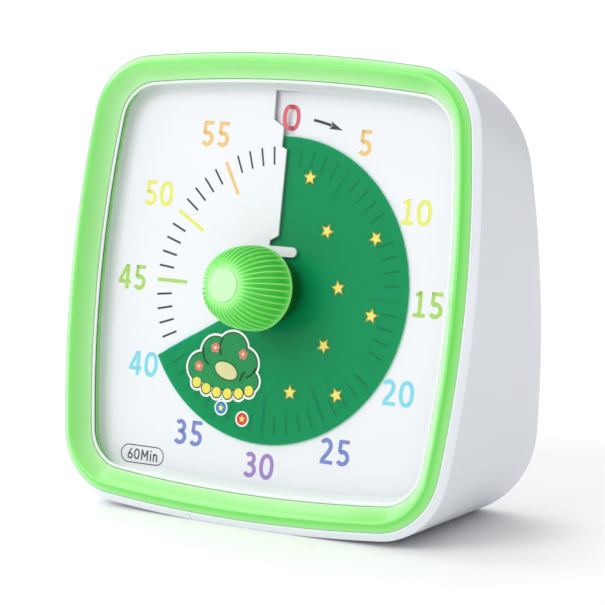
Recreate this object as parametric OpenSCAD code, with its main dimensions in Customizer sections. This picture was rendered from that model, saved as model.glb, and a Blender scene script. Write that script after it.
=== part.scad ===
// Visual countdown timer: a leaning square housing, a clear lens, a slit dial with a film disc
// that threads through the slit, a ribbed setting knob, a geared clock movement and its battery.
// Millimetres, +Z up, the face looks towards -Y, the origin is on the surface that it stands on.

/* [Housing] */
// Width across the front rim
body_w = 140; // [136:1:150]
// Height of the front rim, measured along the leaning face
body_h = 138.6; // [135:0.2:148]
// Corner radius of the front rim
rim_r = 22; // [19:0.5:26]
// Radius of the long arc that each upright side of the rim follows
side_arc_r = 357; // [300:1:900]
// Radius of the long arc that the top and the bottom of the rim follow
top_arc_r = 499; // [350:1:900]
// Angle that the face leans back from upright
face_lean = 10; // [6:0.5:14]
// Angle that the rear face leans forward from upright
rear_lean = 4; // [0:0.5:6]
// Distance from the dial plane back to the rear face
body_depth = 37.7; // [36:0.1:50]
// Width across the rear end of the housing
rear_w = 137; // [132:1:142]
// Height of the rear end of the housing
rear_h = 133.8; // [130:0.2:140]
// Corner radius of the rear end
rear_r = 30; // [26:1:36]
// Radius that rounds the edge of the rear face
rear_edge_r = 6; // [3:0.5:7]
// Wall thickness of the housing
wall = 2.4; // [2:0.1:3]
// Width of the sloped band round the front rim
rim_band_w = 2.1; // [1.5:0.1:2.3]
// Height of the sloped band round the front rim
rim_band_h = 2.4; // [1:0.1:3]
// Depth of the rim's lowest edge that the standing surface cuts off
rim_cut = 1.656; // [1:0.001:2.6]
// Depth of the rear end's lowest edge that the standing surface cuts off
rear_cut = 2.237; // [1.2:0.001:3]
// Distance of the dial's centre below the rim's centre
dial_drop = 0.6; // [0:0.1:2]

/* [Bezel and lens] */
// Distance of the bezel's outer edge inside the rim
bezel_inset = 2.5; // [2.4:0.1:4]
// Width of the bezel from its outer to its inner edge
bezel_w = 7.1; // [6:0.1:8]
// Height of the bezel's outer edge above the dial plane
bezel_h = 8.9; // [8.5:0.1:10]
// Distance of the bezel's crest inside its outer edge
crest_w = 2.5; // [1.5:0.1:3.5]
// Rise of the crest above the bezel's outer edge
crest_rise = 1.6; // [0.5:0.1:2.5]
// Height of the bezel's inner edge above the lens
bezel_lip = 0.6; // [0.4:0.1:1.5]
// Height of the lens's front face above the dial plane
lens_h = 5.2; // [5:0.1:6]
// Thickness of the lens
lens_t = 2; // [1.5:0.1:2.4]
// Radius of the hole in the lens that the shaft passes through
lens_hole_r = 4.2; // [3.8:0.1:5.5]

/* [Dial and film] */
// Radius of the film disc
film_r = 44.5; // [40:0.5:46]
// Thickness of the film disc
film_t = 0.3; // [0.2:0.05:0.4]
// Height that the film and the dial climb in one turn
pitch = 1.8; // [1.6:0.1:2.2]
// Minutes that the film shows at rest
minutes_shown = 40; // [5:1:55]
// Width of the slit in the film disc, in degrees
film_slit = 2; // [1:1:4]
// Thickness of the dial plate
dial_t = 0.6; // [0.4:0.05:0.7]
// Radius of the hub that carries the film
hub_r = 8.75; // [8:0.05:9]
// Thickness of the hub that carries the film
hub_t = 2.4; // [2.2:0.1:2.6]
// Gap round the hub in the dial plate
hub_gap = 0.6; // [0.4:0.1:1]
// Depth of the carrier's front face below the dial plane
carrier_depth = 3.2; // [3:0.1:3.6]
// Thickness of the carrier's base
carrier_t = 2.4; // [2:0.1:3]
// Radius of the posts that hold the dial plate
post_r = 2.5; // [2:0.1:3]

/* [Knob] */
// Radius of the knob over its ribs
knob_r = 12.2; // [11:0.1:14]
// Height of the knob's rear edge above the dial plane
knob_base = 9.8; // [8:0.1:12]
// Length of the knob
knob_l = 17; // [16:0.1:20]
// Length of the knob's domed end
dome_l = 14.6; // [12:0.1:15]
// Number of ribs round the knob
ribs = 40; // [30:1:44]
// Depth of the grooves between the ribs
rib_depth = 0.75; // [0.4:0.05:1]
// Radius of the flat cap in the knob's end
cap_r = 4.75; // [4:0.05:5]
// Wall thickness of the knob
knob_wall = 1.6; // [1.2:0.1:2]

/* [Movement] */
// Radius of the drive shaft
shaft_r = 3; // [2.5:0.1:3.2]
// Radial running clearance of the shafts
run_fit = 0.05; // [0.03:0.01:0.08]
// Tooth module of the gears
gear_module = 0.5; // [0.45:0.01:0.52]
// Teeth of the centre wheel
center_teeth = 48; // [40:1:50]
// Teeth of the intermediate pinion
mid_pinion_teeth = 12; // [12:1:14]
// Teeth of the intermediate wheel
mid_wheel_teeth = 40; // [36:1:42]
// Teeth of the rotor's pinion
rotor_teeth = 10; // [10:1:12]
// Thickness of the centre wheel
wheel_t = 2; // [1.5:0.1:2.4]
// Depth of the movement's case
case_depth = 15; // [14.5:0.1:16]
// Wall thickness of the movement's case
case_wall = 1.6; // [1.4:0.1:2]

/* [Battery and board] */
// Length of the battery
battery_l = 50; // [49:0.1:50.5]
// Radius of the battery
battery_r = 7.15; // [7:0.05:7.3]
// Wall thickness of the battery bay
bay_wall = 1.6; // [1.2:0.1:2]
// Thickness of the battery door
door_t = 2; // [1.6:0.1:2.2]
// Travel of the volume slider to each side
slider_travel = 3.5; // [2:0.1:4]
// Thickness of the circuit board
board_t = 1.6; // [1:0.1:1.6]

/* [Hidden] */
$fn = 64;

fit = 0.2;      // gap between two moulded parts that slide together
seat = 0.05;    // gap between a part and the seat that it is glued or pressed to
eps = 0.01;     // overrun of a cut beyond the face that it opens
far = 200;      // longer than any part

// ---- frames --------------------------------------------------------------------------------
// face frame: +X to the viewer's right, +Y up the face, +Z out of the face, origin at the dial's
// centre. rear frame: seen from behind, +X to the right, +Y up, +Z out of the rear face.
module face_frame() translate([0, 0, dial_z]) rotate([90 - face_lean, 0, 0]) children();
module rear_frame() translate([0, body_depth, rear_z]) rotate([rear_lean - 90, 0, 0])
    rotate([0, 0, 180]) children();
dial_z = (body_h / 2 - dial_drop) * cos(face_lean) - rim_cut;
rear_z = rear_h / 2 * cos(rear_lean) - rear_cut;
function face_pt(x, y, h) =
    [x, y * sin(face_lean) - h * cos(face_lean), dial_z + y * cos(face_lean) + h * sin(face_lean)];
function rear_pt(x, y, h) =
    [x, body_depth - y * sin(rear_lean) + h * cos(rear_lean),
     rear_z + y * cos(rear_lean) + h * sin(rear_lean)];

function face_h(p) = (p[2] - dial_z) * sin(face_lean) - p[1] * cos(face_lean);
// point of the line from a to b at the height h of the face frame
function at_height(a, b, h) = a + (b - a) * (face_h(a) - h) / (face_h(a) - face_h(b));

// ---- outlines ------------------------------------------------------------------------------
// A section is [half width, half height, side arc radius, top arc radius, corner radius].
front_section = [body_w / 2, body_h / 2, side_arc_r, top_arc_r, rim_r];
rear_section = [rear_w / 2, rear_h / 2, side_arc_r, top_arc_r, rear_r];
arc_steps = 3;      // chords in half of each long arc
corner_steps = 9;   // chords in each corner
function side_c(s) = [s[0] - s[2], 0];
function top_c(s) = [0, s[1] - s[3]];
// centre of the corner arc: it touches both long arcs from inside
function corner_c(s) =
    let (a = side_c(s), b = top_c(s), ra = s[2] - s[4], rb = s[3] - s[4], gap = norm(b - a),
         along = (ra * ra - rb * rb + gap * gap) / (2 * gap), e = (b - a) / gap)
    a + along * e + sqrt(ra * ra - along * along) * [-e[1], e[0]];
function arc(c, r, a0, a1, n) =
    [for (i = [0 : n]) let (t = a0 + (a1 - a0) * i / n) c + r * [cos(t), sin(t)]];
// first quadrant, from the middle of the right side to the middle of the top, inset by d
function quadrant(s, d) =
    let (c = corner_c(s), v = c - side_c(s), w = c - top_c(s),
         t1 = atan2(v[1], v[0]), t2 = atan2(w[1], w[0]),
         side = arc(side_c(s), s[2] - d, 0, t1, arc_steps),
         corner = arc(c, s[4] - d, t1, t2, corner_steps),
         top = arc(top_c(s), s[3] - d, t2, 90, arc_steps))
    concat([for (i = [0 : arc_steps - 1]) side[i]], corner, [for (i = [1 : arc_steps]) top[i]]);
function outline(s, d) =
    let (q = quadrant(s, d), m = len(q) - 1)
    concat([for (i = [0 : m - 1]) q[i]],
           [for (i = [m : -1 : 1]) [-q[i][0], q[i][1]]],
           [for (i = [0 : m - 1]) -q[i]],
           [for (i = [m : -1 : 1]) [q[i][0], -q[i][1]]]);
// prism of the face's outline, inset by d, from height h0 to h1
module face_prism(d, h0, h1) face_frame() translate([0, dial_drop, h0])
    linear_extrude(h1 - h0) polygon(outline(front_section, d));
module rear_prism(d, h0, h1) rear_frame() translate([0, 0, h0])
    linear_extrude(h1 - h0) polygon(outline(rear_section, d));

// ---- lofts ---------------------------------------------------------------------------------
function face_ring(d, h) =
    [for (p = outline(front_section, d)) face_pt(p[0], p[1] + dial_drop, h)];
function rear_ring(d, h) = [for (p = outline(rear_section, d)) rear_pt(p[0], p[1], h)];
function flat(list) = [for (a = list) for (b = a) b];
// faces between ring i and the next, of n points each
function band(i, j, n) =
    flat([for (k = [0 : n - 1]) let (l = (k + 1) % n)
        [[i * n + k, j * n + k, j * n + l], [i * n + k, j * n + l, i * n + l]]]);
// closed solid through a stack of rings, capped at both ends; seen from the last ring, each
// ring runs counterclockwise
module loft(rings) {
    n = len(rings[0]);
    m = len(rings);
    polyhedron(points = flat(rings), faces = concat(
        flat([for (i = [0 : m - 2]) band(i, i + 1, n)]),
        [[for (k = [0 : n - 1]) k], [for (k = [n - 1 : -1 : 0]) (m - 1) * n + k]]));
}
// closed tube through a loop of rings that run counterclockwise, seen from the face, and come up
// the outside of the tube and down the inside
module ring_loop(rings) {
    n = len(rings[0]);
    m = len(rings);
    polyhedron(points = flat(rings),
        faces = flat([for (i = [0 : m - 1]) band(i, (i + 1) % m, n)]));
}

// ---- small helpers -------------------------------------------------------------------------
module disc(r, h0, h1) translate([0, 0, h0]) cylinder(r = r, h = h1 - h0);
module tube(r_out, r_in, h0, h1) difference() {
    disc(r_out, h0, h1);
    disc(r_in, h0 - eps, h1 + eps);
}
module block(x0, x1, y0, y1, h0, h1) translate([x0, y0, h0]) cube([x1 - x0, y1 - y0, h1 - h0]);
module at(points) for (p = points) translate([p[0], p[1], 0]) children();
// smooth curve through a list of points, n chords between two of them
function curve_point(a, b, c, d, t) = (2 * b + (c - a) * t + (2 * a - 5 * b + 4 * c - d) * t * t
    + (3 * b - 3 * c + d - a) * t * t * t) / 2;
function curve(p, n) = let (m = len(p) - 1) concat(
    [for (i = [0 : m - 1]) for (j = [0 : n - 1])
        curve_point(p[max(i - 1, 0)], p[i], p[i + 1], p[min(i + 2, m)], j / n)], [p[m]]);
// round wire along a path, never parallel to the vector side
module wire(path, r, side) {
    q = curve(path, 3);
    m = len(q) - 1;
    loft([for (i = [0 : m]) let (v = q[min(i + 1, m)] - q[max(i - 1, 0)], d = v / norm(v),
        w = cross(side, d), a = w / norm(w), b = cross(d, a))
        [for (k = [0 : 7]) q[i] + r * (cos(45 * k) * a + sin(45 * k) * b)]]);
}

// ---- heights in the face frame -------------------------------------------------------------
rim_top = bezel_h - 0.1;
rim_edge = rim_top - rim_band_h;
ledge_h = 2;                                // seat of the bezel's foot in the housing
carrier_top = -carrier_depth;
carrier_back = carrier_top - carrier_t;     // also the seat of the carrier in the housing
bezel_in = bezel_inset + bezel_w;           // inset of the bezel's inner edge
lens_inset = bezel_inset + 4.8;             // inset of the lens's edge, under the bezel
foot_inset = lens_inset - fit;
pocket_inset = bezel_inset - 0.1;
carrier_wall = 1.5;
dial_inset = lens_inset + carrier_wall + fit;
seat_inset = pocket_inset + 2.4;            // inside face of the wall behind the bezel's foot
throat_inset = seat_inset + 4.2;
throat_t = 2;

// ---- housing -------------------------------------------------------------------------------
cover_t = 2.4;
cover_inset = rear_edge_r + 2.5;
cover_ledge = 3;
ledge_t = 2;
edge_steps = 4;
rear_corner = corner_c(rear_section);
boss_inset = 6;
boss_reach = rear_r - cover_inset - boss_inset;     // from the corner's centre outwards
screw_at = [for (x = [-1, 1]) for (y = [-1, 1])
    [x * (rear_corner[0] + boss_reach * cos(45)), y * (rear_corner[1] + boss_reach * sin(45))]];
screw_r = 1.2;
screw_head_r = 2.6;
screw_head_t = 1.2;
screw_sink = 1.4;       // depth of a sunk screw's seat
boss_r = 3.8;
boss_l = 12;
web_t = 2.4;
pad_r = 5;
pad_t = 1.2;
front_pads = [20, 8];
rear_pads = [32, 32];
pad_at = [for (p = [front_pads, rear_pads]) for (side = [-1, 1]) [side * p[0], p[1]]];

module main_shell() color("white") difference() {
    union() {
        difference() {
            intersection() {
                housing_form();
                block(-far, far, -far, far, 0, far);
            }
            intersection() {
                cavity_form();
                block(-far, far, -far, far, wall, far);
            }
            face_prism(pocket_inset, ledge_h, far);
            face_prism(seat_inset, carrier_back, ledge_h + eps);
            face_prism(throat_inset, carrier_back - throat_t - eps, carrier_back + eps);
            rear_prism(cover_inset, -cover_t, far);
            rear_prism(cover_inset + cover_ledge, -cover_t - ledge_t - eps, -cover_t + eps);
        }
        rear_frame() for (p = screw_at) {
            translate([p[0], p[1], -cover_t - seat - boss_l]) cylinder(r = boss_r, h = boss_l);
            translate([p[0], p[1], -cover_t - seat - boss_l])
                rotate([0, 0, atan2(p[1], p[0])])
                block(0, rear_r - boss_reach - wall + 1, -web_t / 2, web_t / 2, 0, boss_l - ledge_t);
        }
    }
    rear_frame() at(screw_at) disc(screw_r + seat, -cover_t - boss_l + 1, 0);
    at(pad_at) disc(pad_r + seat, -eps, pad_t + seat);
}
// the outside, from the band round the rim to the rounded edge of the rear
module housing_form() loft(concat(
    [for (i = [edge_steps : -1 : 0]) let (t = 90 * i / edge_steps)
        rear_ring(rear_edge_r * (1 - cos(t)), -rear_edge_r * (1 - sin(t)))],
    [face_ring(0, rim_edge), face_ring(rim_band_w, rim_top)]));
// the inside, from the ledge under the cover to the ledge under the dial's carrier
module cavity_form() {
    front = face_ring(wall, rim_edge);
    rear = rear_ring(wall, -rear_edge_r - 1);
    loft([rear_ring(wall + ledge_t, -cover_t - ledge_t), rear,
        [for (k = [0 : len(rear) - 1]) at_height(front[k], rear[k], carrier_back - throat_t)]]);
}

module base_pads() color("gainsboro") at(pad_at) disc(pad_r, 0, pad_t);

// ---- bezel, lens, carrier and dial ---------------------------------------------------------
edge_round = 0.3;
crest_round = 0.7;
module bezel() color("lightgreen") ring_loop([for (p = [
    [bezel_inset, ledge_h], [bezel_inset, bezel_h - edge_round],
    [bezel_inset + edge_round, bezel_h + edge_round / 2],
    [bezel_inset + crest_w - crest_round, bezel_h + crest_rise - crest_round / 2],
    [bezel_inset + crest_w, bezel_h + crest_rise],
    [bezel_inset + crest_w + crest_round, bezel_h + crest_rise - crest_round / 2],
    [bezel_in - edge_round, lens_h + bezel_lip + edge_round], [bezel_in, lens_h + bezel_lip],
    [bezel_in, lens_h], [foot_inset, lens_h], [foot_inset, ledge_h]])
    face_ring(p[0], p[1])]);

module lens() color("azure", 0.4) difference() {
    face_prism(lens_inset, lens_h - lens_t, lens_h);
    face_frame() disc(lens_hole_r, 0, far);
}

// the movement's case, and the ears at which screws hold it to the carrier
case_x = 26;        // half width of the case
case_y0 = -33.6;    // its lower and upper ends
case_y1 = 18.6;
case_r = 3;
ear_r = 3.4;
ear_t = 2;
ear_x = case_x + ear_r + 0.1;
ear_at = [for (x = [-ear_x, ear_x]) for (y = [case_y0, case_y1]) [x, y - sign(y) * 6.6]];
ear_l = 4.4;
ear_h = carrier_back - ear_l;
post_angles = [15, 48, 90, 132, 180, 228, 270, 312, 345];
side_post = body_w / 2 - 14;
corner_post = side_post + 7;
function post_reach(a) = abs(sin(2 * a)) > 0.9 ? corner_post : side_post;
// height of the dial's mid surface at an angle clockwise from the top
function dial_mid(a) = pitch * a / 360 - pitch / 2;

module dial_carrier() color("white") {
    difference() {
        union() {
            face_prism(seat_inset + fit, carrier_back, carrier_top);
            difference() {
                face_prism(lens_inset, carrier_top - eps, lens_h - lens_t);
                face_prism(lens_inset + carrier_wall, carrier_top - 2 * eps, far);
            }
            face_frame() {
                at(ear_at) disc(ear_r, ear_h, carrier_back + eps);
                for (a = post_angles) translate(post_reach(a) * [sin(a), cos(a), 0])
                    disc(post_r, carrier_top - eps, dial_mid(a) - dial_t / 2 - seat);
            }
        }
        face_frame() {
            disc(bush_r + 0.02, -far, far);
            at(ear_at) disc(screw_r + seat, -far / 2, carrier_top - carrier_t / 3);
        }
    }
}

// slab that climbs one pitch a turn, from radius r0 to r1 and angle a0 to a1 clockwise
module helicoid(r0, r1, a0, a1, t, lift, steps) {
    ring = [for (i = [0 : steps]) let (a = a0 + (a1 - a0) * i / steps, z = pitch * a / 360 + lift)
        [[r0 * sin(a), r0 * cos(a), z - t / 2], [r1 * sin(a), r1 * cos(a), z - t / 2],
         [r1 * sin(a), r1 * cos(a), z + t / 2], [r0 * sin(a), r0 * cos(a), z + t / 2]]];
    loft(ring);
}
slit_under = 10;    // degrees that the lower leaf of the dial runs under the upper one
slit_over = 36;     // degrees that the upper leaf's tab reaches past the top
notch_w = 1.9;      // width of the notch at which the film's rim passes the slit
slit_x = 0.2;       // distance of the slit's edge left of the middle
tab_l = 6.6;        // reach of the rounded tab beyond the middle
tab_low = hub_r + hub_gap + 0.45;
tab_w = 2.9;
tab_r = tab_w / 2;
module dial_plate() color("white") face_frame() difference() {
    intersection() {
        helicoid(hub_r + hub_gap, far / 2, -slit_under, 360 + slit_over, dial_t, -pitch / 2, 90);
        translate([0, dial_drop, -far / 2]) linear_extrude(far)
            polygon(outline(front_section, dial_inset));
    }
    // trims the upper leaf to the slit's edge and its tab, above the lower leaf
    linear_extrude(far) polygon(concat(
        [[-7.1, far / 2], [-5.5, film_r + 4.5], [-notch_w, film_r + 2.5], [-notch_w, film_r - 3.2],
         [-slit_x, film_r - 3.9], [-slit_x, tab_low + tab_w + 3], [-3, tab_low + tab_w + 1.5],
         [-3, tab_low + tab_w]],
        arc([tab_l - tab_r, tab_low + tab_r], tab_r, 90, -90, 8),
        [[0, tab_low], [0, hub_r - 2.7], [far / 2, hub_r - 2.7], [far / 2, far / 2]]));
}

// ---- film ----------------------------------------------------------------------------------
film_end = 6 * minutes_shown;       // angle of the film's leading edge at rest
film_sweep = 360 - film_slit;
hub_mid = pitch * (film_end - 180) / 360;
module film_disc() color("seagreen") face_frame()
    helicoid(hub_r + seat, film_r, film_end - film_sweep, film_end, film_t, 0, 120);
flat_x = 0.8 * shaft_r;             // distance of the shaft's flat from its axis
module film_hub() color("darkgreen") face_frame() difference() {
    disc(hub_r, hub_mid - hub_t / 2, hub_mid + hub_t / 2);
    d_bore(run_fit, -far, far);
}
module d_bore(gap, h0, h1) difference() {
    disc(shaft_r + gap, h0, h1);
    block(flat_x + gap, far, -far, far, h0 - 1, h1 + 1);
}

// ---- knob ----------------------------------------------------------------------------------
knob_top = knob_base + knob_l;
dome_base = knob_top - dome_l;
dome_in = cap_r + 0.5;
foot_h = 1.6;       // height of the smooth ring round the knob's rear edge
groove = 0.3;       // where a groove's floor starts, as a share of the ribs' spacing
function rib_ring(r, h, depth, tilt) = [for (i = [0 : ribs - 1]) for (side = [0, groove, 1 - groove])
    let (a = 360 * (i + side) / ribs, cut = side == 0 ? 0 : depth, rr = r - cut * cos(tilt))
    [rr * cos(a), rr * sin(a), h - cut * sin(tilt)]];
function dome_ring(t) = let (a = knob_r - dome_in,
    tilt = atan2(sin(t) * a, cos(t) * dome_l))
    rib_ring(dome_in + a * cos(t), dome_base + dome_l * sin(t),
             t < 85 ? rib_depth : rib_depth / 4, tilt);
module ribbed_form() loft(concat(
    [rib_ring(knob_r - edge_round, knob_base, 0, 0), rib_ring(knob_r, knob_base + edge_round, 0, 0),
     rib_ring(knob_r, knob_base + foot_h, 0, 0),
     rib_ring(knob_r, knob_base + foot_h + edge_round, rib_depth, 0)],
    [for (t = [4, 17, 30, 43, 55, 66, 76, 84, 90]) dome_ring(t)]));
knob_foot = lens_h + 0.8;           // rear end of the knob's stem
stem_wall = 2;
hollow_top = knob_top - 10.4;
shaft_top = knob_top - 7.1;
screw_seat = shaft_top + 2.5;
cap_sink = 1.6;
cap_seat = knob_top - cap_sink;
module knob() color("limegreen") face_frame() difference() {
    union() {
        difference() {
            ribbed_form();
            disc(knob_r - rib_depth - knob_wall, knob_base - 1, hollow_top);
        }
        disc(shaft_r + stem_wall, knob_foot, hollow_top + 1);
    }
    d_bore(0.02, knob_foot - 1, shaft_top + 0.1);
    disc(screw_r + fit, shaft_top, far);
    disc(cap_r - 0.75, screw_seat, far);
    disc(cap_r + seat, cap_seat, far);
}
module knob_cap() color("palegreen") face_frame() translate([0, 0, cap_seat]) rotate_extrude()
    polygon(concat([[0, 0], [cap_r, 0]],
        arc([cap_r - edge_round, cap_sink], edge_round, 0, 90, 4), [[0, cap_sink + edge_round]]));
knob_screw_l = 9.5;
module knob_screw() color("silver") face_frame() {
    disc(screw_head_r, screw_seat, screw_seat + screw_head_t);
    disc(screw_r, screw_seat - knob_screw_l, screw_seat + eps);
}

// ---- movement ------------------------------------------------------------------------------
bush_r = 4.5;
bush_top = carrier_top + 0.6;
case_back = carrier_back - case_depth;
lid_top = case_back + case_wall;
plate_in = carrier_back - case_wall;        // inner face of the movement's front plate
wheel_top = carrier_back - 3.4;
wheel_back = wheel_top - wheel_t;
washer_t = 0.5;
collar_top = wheel_back - washer_t;
collar_t = 0.9;
collar_w = 1.2;
mid_at = [0, -gear_module * (center_teeth + mid_pinion_teeth) / 2];
rotor_dir = -30;
rotor_at = mid_at + gear_module * (mid_wheel_teeth + rotor_teeth) / 2
    * [cos(rotor_dir), sin(rotor_dir)];
mid_wheel_top = collar_top - collar_t - 0.2;
mid_wheel_t = 1.6;
stator_top = mid_wheel_top - mid_wheel_t - 0.4;
stator_t = 1;
arbor_r = 0.8;
rotor_arbor_r = 0.6;
pin_depth = 1.1;
pin_end = 0.1;      // gap between an arbor's end and its blind hole

// involute outline of a gear with stub teeth
pressure = 25;
tooth_gap = 0.06;       // thinning of each tooth, measured round the pitch circle
function inv(a) = tan(a) * 180 / PI - a;
function half_tooth(z, r) =
    let (rp = gear_module * z / 2, rb = rp * cos(pressure))
    90 / z - tooth_gap / (2 * rp) * 180 / PI + inv(pressure) - inv(acos(min(1, rb / r)));
function gear_points(z) =
    let (rp = gear_module * z / 2, rb = rp * cos(pressure), tip = rp + 0.8 * gear_module,
         root = rp - 1.05 * gear_module, start = max(rb, root),
         flank = [for (j = [0 : 3]) start + (tip - start) * j / 3])
    flat([for (k = [0 : z - 1]) let (a = 360 * k / z) concat(
        [root * [cos(a - half_tooth(z, start)), sin(a - half_tooth(z, start))]],
        [for (r = flank) r * [cos(a - half_tooth(z, r)), sin(a - half_tooth(z, r))]],
        [for (j = [3 : -1 : 0]) let (r = flank[j])
            r * [cos(a + half_tooth(z, r)), sin(a + half_tooth(z, r))]],
        [root * [cos(a + half_tooth(z, start)), sin(a + half_tooth(z, start))]])]);
module gear(z, turn, h0, h1) translate([0, 0, h0]) rotate([0, 0, turn])
    linear_extrude(h1 - h0) polygon(gear_points(z));

module drive_shaft() color("silver") face_frame() difference() {
    union() {
        disc(shaft_r, lid_top + 1, shaft_top);
        disc(shaft_r / 2, lid_top - pin_depth, lid_top + 1 + eps);
        disc(shaft_r + collar_w, collar_top - collar_t, collar_top);
    }
    block(flat_x, far, -far, far, carrier_top + 0.7, far);
    disc(screw_r + seat, screw_seat - knob_screw_l - 1, far);
}
wheel_hub_w = 2.5;
spoke_at = 8;           // the wheel's lightening holes
spoke_hole_r = 1.8;
module center_wheel() color("gold") face_frame() difference() {
    union() {
        gear(center_teeth, -90, wheel_back, wheel_top);
        disc(shaft_r + wheel_hub_w, wheel_top - eps, plate_in - 0.6);
    }
    disc(shaft_r + 0.02, -far, 0);
    at([for (a = [0 : 72 : 288]) spoke_at * [cos(a), sin(a)]]) disc(spoke_hole_r, -far, 0);
}
module clutch_spring() color("darkgoldenrod") face_frame()
    tube(shaft_r + 2.8, shaft_r + 0.1, collar_top, wheel_back);
module bearing_bush() color("goldenrod") face_frame()
    tube(bush_r, shaft_r + run_fit, plate_in - 0.4, bush_top);

module rounded_box(x0, x1, y0, y1, h0, h1, r) {
    block(x0 + r, x1 - r, y0, y1, h0, h1);
    block(x0, x1, y0 + r, y1 - r, h0, h1);
    at([[x0 + r, y0 + r], [x1 - r, y0 + r], [x0 + r, y1 - r], [x1 - r, y1 - r]]) disc(r, h0, h1);
}
ear_back = ear_h - seat - ear_t;
module movement_front() color("white") face_frame() difference() {
    union() {
        difference() {
            rounded_box(-case_x, case_x, case_y0, case_y1, lid_top, carrier_back - seat, case_r);
            rounded_box(-case_x + case_wall, case_x - case_wall, case_y0 + case_wall,
                        case_y1 - case_wall, lid_top - 1, plate_in, case_r - case_wall);
        }
        for (p = ear_at) {
            inner = sign(p[0]) * (case_x - case_wall / 2);
            translate([p[0], p[1], 0]) disc(ear_r, ear_back, ear_h - seat);
            block(min(p[0], inner), max(p[0], inner), p[1] - ear_r, p[1] + ear_r,
                  ear_back, ear_h - seat);
        }
    }
    disc(bush_r + 0.02, -far, 0);
    at(ear_at) disc(screw_r + fit, -far, 0);
    translate([mid_at[0], mid_at[1], 0]) disc(arbor_r + run_fit, plate_in - 1, plate_in + pin_depth);
    translate([rotor_at[0], rotor_at[1], 0])
        disc(rotor_arbor_r + run_fit, plate_in - 1, plate_in + pin_depth);
}
// the stator: a yoke round the rotor, two arms and the core in the coil
core_x = -18.5;
core_w = 3;
arm_w = 1.7;
yoke_r = 6.8;           // half width of the yoke
yoke_drop = 8.75;       // its lower edge below the rotor's axis
arm_rise = 4.45;        // the upper arm's edge above the rotor's axis
stator_low = rotor_at[1] - yoke_drop;
arm_high = rotor_at[1] + arm_rise;
stator_post_r = 1.4;
stator_posts = [[rotor_at[0] + yoke_r - stator_post_r, stator_low + stator_post_r],
    [rotor_at[0] + yoke_r - stator_post_r, rotor_at[1] + yoke_r - stator_post_r],
    [core_x, stator_low + eps]];
lead_hole = [core_x, arm_high + 4.8];
lead_hole_r = 1.6;
module movement_rear() color("white") face_frame() difference() {
    union() {
        rounded_box(-case_x, case_x, case_y0, case_y1, case_back, lid_top - seat, case_r);
        difference() {
            rounded_box(-case_x + case_wall + fit, case_x - case_wall - fit,
                        case_y0 + case_wall + fit, case_y1 - case_wall - fit,
                        case_back, lid_top + 1, case_r - case_wall - fit);
            rounded_box(-case_x + 2 * case_wall + fit, case_x - 2 * case_wall - fit,
                        case_y0 + 2 * case_wall + fit, case_y1 - 2 * case_wall - fit,
                        lid_top - seat, far, 1);
        }
        at(stator_posts) disc(stator_post_r, case_back, stator_top - stator_t - seat);
    }
    disc(shaft_r / 2 + run_fit, lid_top - pin_depth - pin_end, far);
    translate([mid_at[0], mid_at[1], 0]) disc(arbor_r + run_fit, lid_top - pin_depth - pin_end, far);
    translate([rotor_at[0], rotor_at[1], 0])
        disc(rotor_arbor_r + run_fit, lid_top - pin_depth - pin_end, far);
    translate([lead_hole[0], lead_hole[1], 0]) disc(lead_hole_r, -far, 0);
}
small_head_r = 2.2;
module movement_screws() color("silver") face_frame() at(ear_at) {
    disc(small_head_r, ear_back - screw_head_t, ear_back);
    disc(screw_r, ear_back - eps, carrier_top - carrier_t / 2);
}
mid_hub_r = 2;
// the pinion has a gap towards the centre wheel's tooth, the wheel a tooth towards the rotor
module intermediate_gear() color("khaki") face_frame() translate([mid_at[0], mid_at[1], 0]) {
    disc(arbor_r, lid_top - pin_depth + pin_end, plate_in + pin_depth - pin_end);
    gear(mid_pinion_teeth, 90 - 180 / mid_pinion_teeth, wheel_back - 0.2, wheel_top + 0.2);
    disc(mid_hub_r, mid_wheel_top - eps, wheel_back);
    gear(mid_wheel_teeth, rotor_dir, mid_wheel_top - mid_wheel_t, mid_wheel_top);
}
magnet_r = 4.5;
magnet_t = 2.4;
rotor_hub_r = 1.4;
air_gap = 0.7;
module rotor() color("slategray") face_frame() translate([rotor_at[0], rotor_at[1], 0]) {
    disc(rotor_arbor_r, lid_top - pin_depth + pin_end, plate_in + pin_depth - pin_end);
    gear(rotor_teeth, rotor_dir + 180 - 180 / rotor_teeth,
         mid_wheel_top - mid_wheel_t - 0.2, mid_wheel_top + 0.2);
    disc(magnet_r, stator_top - magnet_t, stator_top - eps);
    disc(rotor_hub_r, stator_top - 0.1, mid_wheel_top - mid_wheel_t - 0.1);
}
module stator() color("dimgray") face_frame() difference() {
    union() {
        block(rotor_at[0] - yoke_r, rotor_at[0] + yoke_r, stator_low, rotor_at[1] + yoke_r,
              stator_top - stator_t, stator_top);
        for (y = [stator_low, arm_high - arm_w])
            block(core_x - core_w / 2, rotor_at[0] - yoke_r + 1, y, y + arm_w,
                  stator_top - stator_t, stator_top);
        block(core_x - core_w / 2, core_x + core_w / 2, stator_low, arm_high,
              stator_top - stator_t, stator_top);
    }
    translate([rotor_at[0], rotor_at[1], 0]) disc(magnet_r + air_gap, -far, 0);
}
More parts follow.
